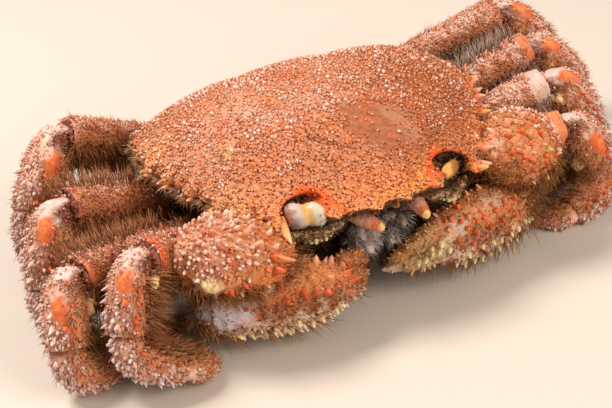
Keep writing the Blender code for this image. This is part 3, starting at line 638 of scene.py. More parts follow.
def paintShield(grid, scale, above, bald, p, q, rim, hollow, groove, toothTint):
    # pink and frosted at the back and on its right, browner on its left, orange along the front margin, with
    # painted shade in the creases, in the orbits and under the margin
    cloud, fineCloud = mottle(grid, 22.0, 1), mottle(grid, 7.0, 2)
    x, y = grid[..., 0], grid[..., 1]
    warm = smooth(4, 34, x - 0.3 * y + 6 * cloud)
    pigment = layer(wash("#C68058", grid),
                    ("#D6A088", 0.85 * smooth(-40, -6, y) * smooth(-50, -26, x - 4 * cloud)
                     * (1 - 0.9 * warm) * np.clip(0.62 + 0.45 * cloud + 0.2 * fineCloud, 0, 1.1)),
                    ("#A2521F", 0.85 * warm * (0.8 + 0.2 * fineCloud)),
                    ("#D27534", 0.5 * smooth(0.1, 0.9, -0.5 * cloud + 0.5 * fineCloud) * (1 - 0.5 * warm)))
    frontEdge = smooth(-20, -46, y)
    pigment = layer(pigment, ("#DC8A4C", 0.7 * smooth(0.70, 0.95, scale) * frontEdge),
                    ("#E89C4A", 0.7 * smooth(0.9, 0.985, scale) * frontEdge * (0.6 + 0.4 * fineCloud)))
    for cx, cy, r, code, share in shield["patches"]:
        pigment = tint(pigment, code, share * np.exp(-((x - cx) ** 2 + (y - cy) ** 2) / r**2))
    pigment = tint(pigment, "#A8684A", bald * 0.9)
    streaks = 0.5 + 0.5 * np.sin(q * 2.6 + mottle(grid, 9.0, 9) * 2.2)
    pigment = layer(pigment, ("#8E4C2C", bald * 0.5 * streaks),
                    ("#C08E74", bald * 0.5 * smooth(0.2, 1.1, (p - 2.0) / 9 + (q + 2) / 10
                                                    + 0.3 * fineCloud)),
                    ("#CC4410",
                     0.8 * np.exp(-(segmentDistance(grid, (-29.4, -9.4), (-32.0, -11.6)) / 0.8) ** 2)
                     + 0.6 * np.exp(-(segmentDistance(grid, (-32.0, -11.6), (-33.0, -15.5)) / 0.8) ** 2)),
                    # painted shade in the creases: dark red-brown along them
                    ("#6E2E10", np.clip(1.5 * groove, 0, 0.9) * above),
                    ("#E65A10", np.clip(rim * 1.1, 0, 0.96)),
                    ("#E6A468", toothTint * 0.6),
                    ("#F0864A", toothTint * 0.8 * smooth(20, 35, x)))
    below = 1 - above
    # painted shade under the margin: the underside is laid dark brown
    pigment = layer(pigment, ("#43281A", below * smooth(1.0, 0.95, scale)),
                    ("#A87A58", below * smooth(0.93, 0.99, scale) * (1 - frontEdge) * 0.7))
    # painted shade in the orbits: their hollows are laid almost black
    return tint(pigment, "#241610", hollow), warm


def buildShield():
    columns, upper = 560, 96
    turn = np.arange(columns) / columns
    x, y = marginAt(turn)
    low = readTable(shield["marginRise"], y)
    k = 1 - np.linspace(0, 1, upper, endpoint=False)[:, None] ** 1.15
    top = np.stack([x * k, y * k, low + (readTable(shield["crownRise"], y * k) - low) * (1 - k**3) ** 0.7],
                   axis=-1)
    belowRows = ((0.62, 0.0), (0.66, 0.0), (0.73, 0.2), (0.8, 0.4), (0.87, 0.57), (0.93, 0.72), (0.96, 0.83),
                 (0.985, 0.95))
    under = [np.stack([x * s, y * s, shield["underside"] + (low - shield["underside"]) * fall], axis=-1)
             for s, fall in belowRows]
    grid = np.concatenate([np.stack(under), top])
    scale = np.concatenate([np.array(belowRows)[:, 0], k[:, 0]])[:, None]
    above = np.concatenate([np.zeros(len(under)), np.ones(upper)])[:, None]  # 0 below the margin, 1 above
    edge = smooth(0.90, 1.0, scale) * np.where(above > 0, 1, smooth(0.93, 1.0, scale))
    toothTint = addTeeth(grid, edge, turn, x, y)
    # swellings and furrows of the regions, creases, and a fine unevenness
    lift = np.full(grid.shape[:2], -shield["setDown"])
    for middleX, middleY, reachX, reachY, rise in shield["regions"]:
        for side in (1, -1) if middleX else (1,):
            far = ((grid[..., 0] - side * middleX) / reachX) ** 2 + ((grid[..., 1] - middleY) / reachY) ** 2
            lift += rise * np.exp(-far)
    mirrored = grid * (np.sign(grid[..., :1]) * [1, 0, 0] + [0, 1, 1])
    for a, b, depth, half in shield["furrows"]:
        lift -= depth * np.exp(-(segmentDistance(mirrored, a, b) / half) ** 2)
    groove = np.zeros(grid.shape[:2])
    for a, b, depth, half in shield["creases"]:
        near = np.exp(-(segmentDistance(grid, a, b) / half) ** 2)
        lift -= depth * near
        groove = np.maximum(groove, near * depth * 2)
    lift += mottle(grid, 6.0, 4) * 0.14 + mottle(grid, 2.6, 5) * 0.09
    grid[..., 2] += above * (1 - np.minimum(scale, 1)**6) * lift
    # the raised rims of the orbits, widest towards the middle of the shell, then the hollows
    rim, hollow = np.zeros(grid.shape[:2]), np.zeros(grid.shape[:2])
    for side in (-1, 1):
        middle, axes = orbitFrame(side)
        q = np.linalg.norm((grid - middle) @ axes.T, axis=-1)
        inner = smooth(-3.5, 3.0, (middle[0] - grid[..., 0]) * side)
        grid[..., 2] += np.exp(-((q - 1.08) / 0.13) ** 2) * (q > 0.98) * 0.7 * above
        orange = np.maximum(inner, 0.75) if side > 0 else np.maximum(inner, 0.35)
        rim = np.maximum(rim, np.exp(-(np.maximum(q - 1.0, 0) / (0.1 + 0.2 * orange)) ** 2) * above
                         * (0.4 + 0.6 * orange))
        hollow = np.maximum(hollow, smooth(1.0 - 0.3 * inner, 0.93 - 0.3 * inner, q))
        ridge = np.minimum(segmentDistance(grid, (side * 20.9, -38.6), (side * 15.6, -43.6)),
                           segmentDistance(grid, (side * 15.6, -43.6), (side * 13.8, -49.5)))
        rim = np.maximum(rim, 0.95 * np.exp(-(ridge / 1.5) ** 2) * above)
    grid = hollowOrbits(grid)
    bald, p, q = baldPatch(grid)
    bald = bald * above
    pigment, warm = paintShield(grid, scale, above, bald, p, q, rim, hollow, groove, toothTint)
    grain = (above * np.clip(1 - bald * 0.85 - rim * 0.9 - hollow, 0, 1) * (1 - 0.3 * toothTint)
             + 0.25 * (1 - above))
    surface = makeSurface(grid, pigment, grain, bald=bald, rim=rim, hollow=hollow, tooth=toothTint, warm=warm,
                          scale=np.broadcast_to(scale, grain.shape),
                          above=np.broadcast_to(above, grain.shape))
    addSurface("carapaceShell", surface, shellFinish, ["carapace"])
    return surface


shieldSurface = buildShield()
print("shield built")

shieldGrain = {"spacing": 1.08, "size": 0.7, "height": 0.85, "blend": 0.25, "lean": 0.0, "profile": bead,
               "sides": 4,
               "palette": (("#EFCFBD", 5), ("#E6B79C", 4), ("#E2C6BC", 2), ("#DE9262", 3), ("#E8A67C", 3)),
               "pegs": (("#B04C1E", 4), ("#C86436", 3), ("#8E3A14", 2)), "pegHeight": 0.75, "pegWidth": 0.3}
frontGrain = {**shieldGrain, "spacing": 1.3, "size": 0.8, "height": 0.7, "blend": 0.5,
              "palette": (("#EBAA7C", 4), ("#F0BE9A", 3), ("#E08A54", 3), ("#F2D2BE", 2)),
              "pegs": (("#8E300C", 4), ("#A8441A", 3), ("#6E260A", 2)), "pegWidth": 0.38}
frostGrain = {**shieldGrain, "spacing": 1.7, "size": 0.95, "height": 0.8, "blend": 0.1, "sides": 5,
              "palette": (("#F6E4DA", 4), ("#F2D4C6", 3), ("#E8CCC0", 2))}
shieldBristle = {"profile": peg, "spacing": 1.3, "each": 1, "length": 0.8, "width": 0.13, "lean": 0.6,
                 "curl": 0.3, "spread": 0.35,
                 "feet": (("#8A3616", 3), ("#A24A20", 3)),
                 "tips": (("#C0623E", 2), ("#8E4420", 2), ("#DAA280", 2))}
shieldDown = {**shieldBristle, "spacing": 1.1, "each": 2, "length": 1.1, "width": 0.11, "lean": 0.7,
              "spread": 0.5,
              "feet": (("#7A4424", 3), ("#5E3018", 2)),
              "tips": (("#B98058", 2), ("#D2A482", 2), ("#8A5432", 2))}
orbitHair = {**shieldBristle, "profile": hair, "spacing": 0.75, "each": 3, "length": 1.9, "width": 0.13,
             "spread": 0.5,
             "feet": (("#2A1A12", 3), ("#4A2E1C", 1)),
             "tips": (("#6E4A2E", 2), ("#9A7350", 1), ("#3A241A", 2))}
# feathery clumps that hang from the margin, cream at the sides and short and dark in front
sideFringe = {**shieldBristle, "spacing": 1.35, "each": 9, "length": 2.7, "width": 0.12, "lean": 0.15,
              "spread": 0.38,
              "feet": (("#96603C", 3), ("#6E4226", 2)),
              "tips": (("#E6BC92", 3), ("#F0D2AE", 2), ("#C68C5C", 2)), "profile": hair, "droop": 0.2}
frontFringe = {**sideFringe, "spacing": 0.9, "each": 3, "length": 1.6,
               "feet": (("#3A2214", 3), ("#5A3620", 1)),
               "tips": (("#7A5234", 3), ("#A87C54", 1), ("#4A2E1C", 3))}


def marginSpikes():
    # a pair of pink spikes on each large tooth of the side margins, outwards and a little up
    rng = np.random.default_rng(28)
    steps = 2 * (len(shield["margin"]) - 1)
    rows = [(side, step + shift, length) for step, length, _, _ in shield["teeth"]
            if length > 2.8 and step > 4 for shift in (-0.1, 0.06) for side in (1, -1)]
    side, step, length = (np.array(column) for column in zip(*rows))
    turn = side * step / steps
    x, y = marginAt(turn)
    nextX, nextY = marginAt(turn + side * 0.004)
    out = unit(np.stack([nextY - y, x - nextX, 0 * x], axis=1)) * side[:, None]
    place = (np.stack([x, y, readTable(shield["marginRise"], y) - shield["setDown"]], axis=1)
             + out * (0.55 * length - 0.4)[:, None])
    count = len(rows)
    aim = out + np.array([0, -0.35, 0.45]) + rng.normal(size=out.shape) * 0.1
    roots = {"place": place, "normal": unit(aim),
             "along": np.tile([0.0, -1.0, 0.0], (count, 1)),
             "uv": np.stack([turn % 1, 0.2 + 0 * turn], axis=1)}
    foot = np.tile(hexLinear("#D87848"), (count, 1))
    foot[side > 0] = hexLinear("#EC7038")
    tip = np.where(rng.random((count, 1)) < 0.3, hexLinear("#F0C878"), hexLinear("#F2B49A"))
    tall = rng.uniform(2.0, 2.9, count) * (1 + 0.55 * (side > 0))
    spikes = [grow(roots, tall, np.where(side > 0, 1.5, 0.9), spike, 8, 0.0, 0 * out, foot, tip)]
    horn = shield["horn"]
    for way, share, tipHex in ((1, 0.4, "#E8843C"), (-1, 1.0, "#F2D8A0")):
        place, ahead = (np.array(horn[key]) * (way, 1, 1) for key in ("place", "aim"))
        root = {"place": place[None], "normal": unit(ahead)[None], "along": np.array([[0.0, 0.0, 1.0]]),
                "uv": np.array([[0.5 + 0.1 * way, 0.3]])}
        spikes.append(grow(root, horn["length"] * share, horn["radius"], spike, 12, 0.0, np.zeros(3),
                           hexLinear("#E2843C")[None], hexLinear(tipHex)[None]))
    return spikes


def coatShield(surface):
    clear = np.clip(1 - surface["bald"] * 0.93 - surface["rim"] * 0.8 - surface["hollow"], 0, 1)
    onTop = surface["above"] * smooth(1.003, 0.99, surface["scale"])
    x, y = surface["grid"][..., 0], surface["grid"][..., 1]
    back = smooth(-33, -14, y + 7 * mottle(surface["grid"], 15.0, 23)) * (0.35 + 0.65 * smooth(-50, -34, x))
    clumps = np.clip(0.75 + 0.4 * mottle(surface["grid"], 3.4, 24) + 0.35 * mottle(surface["grid"], 10.0, 29),
                     0.25, 1)
    golden = np.maximum(1 - back, 0.6 * surface["warm"])
    grains = granules(surface, shieldGrain, 21, clear * onTop * (1 - golden) * clumps)
    grains += granules(surface, frontGrain, 22, clear * onTop * golden)
    frosted = smooth(0.0, 0.7, mottle(surface["grid"], 11.0, 25) + 0.5 * mottle(surface["grid"], 4.0, 26))
    grains += granules(surface, frostGrain, 27, clear * onTop * back * frosted * (1 - 0.7 * surface["warm"]))
    grains += marginSpikes()
    addCoat("carapaceGranules", grains, grainFinish)
    forward = (0.0, -1.0, -0.1)  # the bristles of the shield point to the front
    coat = bristles(surface, shieldBristle, 31, clear * onTop, flow=forward)
    coat += bristles(surface, shieldDown, 32, clear * onTop * surface["warm"], flow=forward)
    coat += bristles(surface, orbitHair, 33, surface["hollow"] * 0.8, flow=(0.0, -1.0, 0.3))
    addCoat("carapaceBristles", coat, bristleFinish)
    below = (1 - surface["above"]) * smooth(0.93, 0.975, surface["scale"]) * (1 - surface["hollow"])
    front = smooth(-38, -43, surface["grid"][..., 1])
    addCoat("carapaceFringe", bristles(surface, sideFringe, 35, below * (1 - front))
            + bristles(surface, frontFringe, 36, below * front), bristleFinish)


coatShield(shieldSurface)
print("shield dressed")


# limbs

def layPath(joints, radius, firstAcross=None):
    # Straight runs whose corners are arcs of about the radius, drawn as rational quadratics in six steps.
    # Directions across the path turn as little as they can from one half millimetre to the next.
    joints = np.array(joints, float)
    points, marks = [joints[0]], []
    for before, corner, after in zip(joints, joints[1:], joints[2:]):
        inward, outward = corner - before, after - corner
        halfTurn = math.acos(np.clip(unit(inward) @ unit(outward), -1, 1)) / 2
        reach = radius * math.tan(halfTurn)
        into = corner - unit(inward) * min(reach, np.linalg.norm(inward) * 0.48)
        out = corner + unit(outward) * min(reach, np.linalg.norm(outward) * 0.48)
        marks.append(len(points))
        for t in np.arange(7) / 6:
            a, b, c = (1 - t)**2, 2 * t * (1 - t) * math.cos(halfTurn), t**2
            points.append((into * a + corner * b + out * c) / (a + b + c))
    points = np.array(points + [joints[-1]])
    run = np.concatenate([[0], np.cumsum(np.linalg.norm(np.diff(points, axis=0), axis=1))])
    steps = np.linspace(0, run[-1], int(run[-1] / 0.5) + 2)

    def at(distance):
        return np.stack([np.interp(distance, run, points[:, i]) for i in range(3)], axis=-1)

    along = unit(at(np.minimum(steps + 0.8, run[-1])) - at(np.maximum(steps - 0.8, 0)))
    across = unit(np.cross([0, 0, 1], along[0])) if firstAcross is None else np.array(firstAcross, float)
    turned = []
    for direction in along:
        across = unit(across - direction * (across @ direction))
        turned.append(across)
    return {"run": run, "cuts": [0.0, *run[marks], run[-1]], "steps": steps, "along": along,
            "across": np.array(turned), "points": points}


def frameAt(path, distance):  # middle, along, across and up at every distance, straight on past either end
    inside = np.clip(distance, 0, path["run"][-1])
    middle = np.stack([np.interp(inside, path["run"], path["points"][:, i]) for i in range(3)], axis=-1)
    along, across = (unit(np.stack([np.interp(inside, path["steps"], path[key][:, i]) for i in range(3)],
                                   axis=-1))
                     for key in ("along", "across"))
    return middle + along * (distance - inside)[:, None], along, across, np.cross(along, across)


def tube(path, start, end, table, fullness, rows, columns, startRows=(), endRows=()):
    # Sections between two distances, with extra rows of (distance past the end, scale) at either end to shape
    # a collar or a rim. A section is an ellipse raised to a power: squarer where the fullness is under 1.
    share = 0.5 - 0.5 * np.cos(pi * np.linspace(0.06, 0.94, rows))
    share = (share - share[0]) / (share[-1] - share[0])
    distance = np.concatenate([[start + row[0] for row in startRows], start + (end - start) * share,
                               [end + row[0] for row in endRows]])
    scale = np.concatenate([[row[1] for row in startRows], np.ones(rows), [row[1] for row in endRows]])
    share = np.clip((distance - start) / (end - start), 0, 1)
    middle, along, across, up = frameAt(path, distance)
    turn = 2 * pi * (np.arange(columns) + 0.5) / columns
    c, n = (np.sign(f(turn)) * np.abs(f(turn))**fullness for f in (np.cos, np.sin))
    high, wide = (readTable(table, share, column) * scale for column in (1, 2))
    grid = (middle[:, None] + across[:, None] * (wide[:, None] * c)[..., None]
            + up[:, None] * (high[:, None] * n)[..., None])
    frontward = np.where(across[:, 1] < 0, 1.0, -1.0)[:, None]
    inside = np.array([0.0] * (len(startRows) + rows) + [float(row[1] < 0.95) for row in endRows])
    size = grid.shape[:2]
    return {"grid": grid, "share": np.broadcast_to(share[:, None], size),
            "top": np.broadcast_to(np.sin(turn), size), "front": frontward * np.cos(turn),
            "inside": np.broadcast_to(inside[:, None], size),
            "along": np.broadcast_to(along[:, None], grid.shape)}


def roughen(shape, depth, period, seed):  # moves a grid in and out along its normals by soft noise
    grid = shape["grid"]
    noise = mottle(grid, period, seed) * depth + mottle(grid, period * 0.4, seed + 1) * depth * 0.5
    shape["grid"] = grid + gridNormals(grid) * noise[..., None]
    return shape


def placeOn(limb, share, degrees):
    # points on a limb by share of its length and degrees up from its front face, and the ways out and along
    path, start, end, table, fullness = limb
    share, degrees = np.broadcast_arrays(np.atleast_1d(np.array(share, float)), np.array(degrees, float))
    middle, along, across, up = frameAt(path, start + (end - start) * share)
    turn = np.radians(np.where(across[:, 1] < 0, degrees, 180 - degrees))
    c, n = np.cos(turn), np.sin(turn)
    high, wide = readTable(table, share, 1), readTable(table, share, 2)
    place = (middle + across * (np.sign(c) * np.abs(c)**fullness * wide)[:, None]
             + up * (np.sign(n) * np.abs(n)**fullness * high)[:, None])
    return place, unit(across * (c / wide)[:, None] + up * (n / high)[:, None]), along, turn


def addMarks(limb, shape, pigment, clear, marks):
    # Ovals on a limb: each has a colour, a strength and a swelling, full inside its reach and gone a quarter
    # beyond. Distances are straight lines from its middle, along the limb and across it.
    for share, degrees, reachAlong, reachAcross, rise, code, strength in marks:
        place, out, along, _ = placeOn(limb, share, degrees)
        local = shape["grid"] - place[0]
        far = local @ along[0]
        q = np.sqrt((far / reachAlong)**2 + np.maximum(np.sum(local**2, axis=-1) - far**2, 0)
                    / reachAcross**2)
        near = smooth(1.25, 0.8, q + 0.18 * mottle(shape["grid"], 3.0, int(1000 * share)))
        shape["grid"] = shape["grid"] + out[0] * (near * rise)[..., None]
        pigment = tint(pigment, code, near * strength)
        clear = np.maximum(clear, near * min(1.0, strength * 1.2))
    return pigment, clear


def rowSpines(limb, rows, seed):
    # the spines in rows along a limb, at the same places as on the solids, each curved towards the tip
    rng = np.random.default_rng(seed)
    batches = []
    for degrees, first, last, count, height, radius, footHex, tipHex in rows:
        share = np.linspace(first, last, count)
        place, out, along, turn = placeOn(limb, share, degrees)
        roots = {"place": place - out * 0.3, "normal": unit(out + along * 0.3), "along": along,
                 "uv": np.stack([turn / (2 * pi) % 1, share], axis=1)}
        feet = np.broadcast_to(hexLinear(footHex), (count, 3)) * rng.uniform(0.85, 1.15, (count, 1))
        tips = np.broadcast_to(hexLinear(tipHex), (count, 3)) * rng.uniform(0.85, 1.15, (count, 1))
        batches.append(grow(roots, (height + 0.3) * rng.uniform(0.9, 1.15, count),
                            radius * rng.uniform(0.8, 1.05, count), spike, 8,
                            rng.normal(size=(count, 3)) * 0.08, along * 0.2, feet, tips))
    return batches


def addStuds(limb, studs, corner, seed):
    # single spines and balls: share of the length, degrees, profile, height, radius, colours at foot and
    # tip, and how far they lean along the limb
    rng = np.random.default_rng(seed)
    batches = []
    for share, degrees, profile, height, radius, footHex, tipHex, *ahead in studs:
        place, out, along, turn = placeOn(limb, share, degrees)
        roots = {"place": place - out * 0.25, "normal": unit(out + along * (ahead[0] if ahead else 0.25)),
                 "along": along, "uv": np.stack([turn / (2 * pi) % 1, [share]], axis=1)}
        batches.append(grow(roots, height + 0.25, radius, profile, 10, rng.normal(size=(1, 3)) * 0.12,
                            along * 0.12, hexLinear(footHex)[None], hexLinear(tipHex)[None], corner))
    return batches


def studs(kind, *places):  # several studs of one kind, each at a share of the length and degrees
    return [(share, degrees, *kind) for share, degrees in places]


redBall = (ball, 1.7, 0.8, "#D0602C", "#EC6A34")
redSpine = (spike, 2.3, 1.05, "#DC8058", "#E0521E")
creamPeg = (spike, 1.8, 1.15, "#D2B27C", "#F2E2B2")
pinkSpine = (spike, 2.3, 1.5, "#CF7A4C", "#E9AE90")

grainLook = {
    "frost": {"spacing": 1.15, "size": 0.6, "height": 1.15, "blend": 0.25, "lean": 0.35, "profile": bead,
              "sides": 5,
              "palette": (("#F4E0D8", 5), ("#ECC6B6", 3), ("#DE9474", 2), ("#F2DACC", 4)),
              "pegs": (("#C05C34", 4), ("#D47850", 3), ("#964624", 2)), "pegHeight": 0.9, "pegWidth": 0.3},
    "lilac": {"spacing": 1.6, "size": 0.95, "height": 1.15, "blend": 0.2, "lean": 0.4, "profile": dome,
              "sides": 6,
              "palette": (("#DCCAD0", 5), ("#E6D6D2", 4), ("#CDB4B6", 3), ("#D8907A", 1)),
              "pegs": (("#B0522E", 4), ("#9A4A2A", 2)), "pegHeight": 0.9, "pegWidth": 0.3},
    "brown": {"spacing": 1.5, "size": 0.6, "height": 1.3, "blend": 0.35, "lean": 0.5, "profile": bead,
              "sides": 5,
              "palette": (("#DC9064", 4), ("#E8B490", 3), ("#C25A2C", 3))},
    "clawPale": {"spacing": 1.75, "size": 1.0, "height": 1.25, "blend": 0.15, "lean": 0.35, "profile": dome,
                 "sides": 6,
                 "palette": (("#EFCDBB", 5), ("#F0D9CC", 3), ("#E6AE8C", 3), ("#D86A3A", 1)),
                 "pegs": (("#B8441A", 4), ("#D0602E", 3), ("#7E3414", 2)), "pegHeight": 1.0,
                 "pegWidth": 0.34},
    "clawTan": {"spacing": 1.9, "size": 0.7, "height": 1.1, "blend": 0.45, "lean": 0.35, "profile": bead,
                "sides": 6,
                "palette": (("#DE9A66", 4), ("#E9B48A", 3), ("#C8541E", 3)),
                "pegs": (("#8E3A14", 4), ("#6E2E10", 3)), "pegHeight": 0.9, "pegWidth": 0.26},
}
bristleLook = {
    "short": {"spacing": 1.2, "each": 1, "length": 1.0, "width": 0.15, "lean": 0.7, "curl": 0.3,
              "spread": 0.4, "profile": peg,
              "feet": (("#A05E3C", 2), ("#B87450", 1)),
              "tips": (("#D6A88C", 2), ("#B06C48", 2), ("#E9CCBA", 1))},
    "fur": {"spacing": 1.06, "each": 2, "length": 2.0, "width": 0.14, "lean": 0.55, "curl": 0.45,
            "spread": 0.5, "blend": 0.4,
            "feet": (("#804A2A", 2), ("#9C623C", 2)),
            "tips": (("#E2A672", 3), ("#C08252", 3), ("#EEC8A2", 2))},
    "claw": {"spacing": 1.3, "each": 2, "length": 1.6, "width": 0.12, "lean": 0.6, "curl": 0.3,
             "spread": 0.45, "blend": 0.25,
             "feet": (("#5E3216", 2), ("#7A4622", 2)),
             "tips": (("#B98552", 2), ("#8A5430", 3), ("#C99462", 1))},
    "curtain": {"spacing": 1.0, "each": 2, "length": 5.5, "width": 0.16, "lean": 0.6, "curl": 0.3,
                "spread": 0.3, "blend": 0.2,
                "feet": (("#5E3418", 2), ("#744422", 2)),
                "tips": (("#A86C3A", 3), ("#8A5228", 3), ("#C08A54", 1))},
    "greyCurtain": {"spread": 0.5, "length": 4.6, "feet": (("#5E4A3C", 2), ("#6E5444", 2)),
                    "tips": (("#A89688", 3), ("#8E7868", 3), ("#C8BAAE", 2))},
    "long": {"spacing": 1.5, "each": 4, "length": 4.0, "width": 0.12, "lean": 0.35, "curl": 0.4,
             "spread": 0.4,
             "profile": longHair, "droop": 0.15, "feet": (("#6B3E1C", 2), ("#7E4E2A", 2)),
             "tips": (("#B57E46", 3), ("#946030", 3), ("#CFA468", 1))},
}

# share of the length, half height, half thickness
legTables = {
    "merus": ((0.0, 5.0, 4.2), (0.35, 6.4, 4.9), (0.8, 6.9, 5.3), (0.94, 6.6, 5.6), (1.0, 5.8, 5.2)),
    "carpus": ((0.0, 5.2, 4.8), (0.2, 6.0, 5.5), (0.6, 6.8, 5.8), (0.9, 6.2, 5.4), (1.0, 5.2, 4.8)),
    "propodus": ((0.0, 4.8, 4.4), (0.25, 5.4, 4.9), (0.6, 5.4, 4.8), (0.9, 4.6, 4.0), (1.0, 4.0, 3.6)),
    "dactyl": ((0.0, 3.6, 3.2), (0.3, 3.5, 3.0), (0.7, 2.4, 2.1), (0.93, 1.2, 1.1), (1.0, 0.4, 0.4)),
}
# root, knee, second bend, foot, tip
legJoints = {
    "right_1": ((-22, -13, 12), (-69, -38, 33), (-77, -48, 13), (-54, -55, 2.9), (-58, -36, 2)),
    "right_2": ((-22, -2, 12), (-86, -31, 29), (-92, -43, 8), (-72, -33, 2.9), (-52, -26, 2)),
    "right_3": ((-22, 12, 13), (-80, -5, 35), (-88, -14, 15), (-82, -28, 2.9), (-61, -18, 2)),
    "right_4": ((-22, 34, 18), (-68, 29, 39), (-82, 17, 22), (-84, 2, 2.9), (-63, 8, 2)),
    "left_1": ((22, -12, 11), (77, -25, 26), (84, -34, 8), (62, -38, 2.9), (58, -19, 2)),
    "left_2": ((22, -1, 12), (79, -12, 35), (89, -20, 16), (76, -17, 2.9), (54, -9, 2)),
    "left_3": ((22, 12, 14), (86, 9, 37), (97, -1, 19), (83, -7, 2.9), (62, 1, 2)),
    "left_4": ((22, 36, 19), (88, 32, 39), (101, 23, 23), (92, 12, 2.9), (70, 15, 2)),
}
# degrees up from the front face, first and last share, count, height, radius, colours at foot and tip
legRows = {
    "merus": ((52, 0.4, 0.9, 4, 1.7, 0.8, "#B5602E", "#E0A070"),
              (90, 0.3, 0.93, 6, 1.9, 0.9, "#C8642E", "#E6A880"),
              (128, 0.4, 0.9, 4, 1.7, 0.8, "#C8704A", "#E6BCA0")),
    "carpus": ((40, 0.45, 0.9, 4, 1.8, 0.85, "#D0703E", "#DC4A18"),
               (90, 0.55, 0.9, 3, 1.9, 0.95, "#DCA890", "#EBD0C4"),
               (140, 0.45, 0.9, 4, 1.8, 0.9, "#D8A08A", "#EBD4CA")),
    "propodus": ((35, 0.3, 0.85, 4, 1.6, 0.8, "#CF6A3C", "#D9521E"),
                 (75, 0.3, 0.85, 4, 1.7, 0.85, "#D0846A", "#E2B4A0"),
                 (125, 0.3, 0.85, 4, 1.6, 0.85, "#CDB0AC", "#E2D4D2")),
    "dactyl": (),
}
# for each knee: colour and width of the rim above it, places of its oval and pale knob, how white it is
knees = {
    "right_1": {"rim": ("#E8642A", 1.15), "oval": (0.40, 78), "knob": (0.30, -3), "knobSize": 1.0,
                "white": 0.8, "studs": ((0.60, 72, *redSpine), (0.82, 43, *redSpine))},
    "right_2": {"rim": ("#E47A50", 1.05), "oval": (0.51, 72), "knob": (0.49, -17), "knobSize": 0.9,
                "white": 0.9, "studs": ((0.74, 60, *redSpine),)},
    "right_3": {"rim": ("#D07658", 0.8), "oval": (0.37, 63), "knob": (0.40, 5), "knobSize": 0.4, "white": 1.0,
                "studs": ()},
    "right_4": {"rim": ("#D08A74", 0.4), "oval": (0.46, 28), "knob": (0.28, 72), "knobSize": 0.4,
                "white": 0.9, "studs": ()},
    "left_1": {"rim": ("#E28A58", 3.0), "oval": (0.60, 33), "knob": (0.78, -47), "knobSize": 1.0,
               "white": 0.9, "studs": ()},
    "left_2": {"rim": ("#EAD2CA", 3.2), "oval": (0.27, 62), "knob": (0.16, -10), "knobSize": 1.0,
               "white": 1.0, "studs": ()},
    "left_3": {"rim": ("#E07844", 2.2), "oval": (0.25, 43), "knob": (0.45, 0), "knobSize": 0.4, "white": 0.6,
               "studs": ()},
    "left_4": {"rim": ("#D98058", 1.0), "oval": (0.30, 50), "knob": (0.45, 0), "knobSize": 0.4, "white": 0.6,
               "studs": ()},
}
legCorners = {"merus": (0.0, 0.0, 0.5, 0.5), "carpus": (0.5, 0.0, 1.0, 0.5), "propodus": (0.0, 0.5, 0.5, 1.0),
              "dactyl": (0.5, 0.5, 1.0, 1.0)}
flare = 0.6  # how far the merus's upper rim stands out over the knee
legRings = {"merus": 76, "carpus": 56, "propodus": 44, "dactyl": 32}  # sections along each
legFur = {"merus": 0.5, "carpus": 0.35, "propodus": 0.35, "dactyl": 0.7}  # long hair below each
farLegs = ("left_2", "left_3", "left_4")  # their hair is grey and their frost reaches further
halfGap = 0.16  # half the space between two pieces of a leg
floorGap = 0.05  # no shell of a limb or of the flap comes nearer to the floor


def shapeKnee(shape, piece):
    # The merus ends in an arch that flares out and overhangs the knee on its upper half. The carpus starts a
    # fifth narrower, so that a dark hollow shows between the two.
    share, top = shape["share"], shape["top"]
    normals = gridNormals(shape["grid"])
    if piece == "merus":
        arch = smooth(0.9, 1.0, share) * smooth(-0.35, 0.4, top)
        shape["grid"] = (shape["grid"] + normals * (arch * flare)[..., None]
                         * (shape["inside"] < 0.5)[..., None])
        shape["grid"] = shape["grid"] + shape["along"] * (arch * 0.9)[..., None]
    if piece == "carpus":
        waist = (1 - smooth(0.02, 0.24, share)) * 1.15 * smooth(-0.6, 0.2, top)
        waist = (waist + 0.9 * smooth(0.36, 0.24, share) * smooth(0.35, 0.65, shape["front"])
                 * smooth(-0.35, 0.0, top))
        shape["grid"] = shape["grid"] - normals * waist[..., None]
    return shape


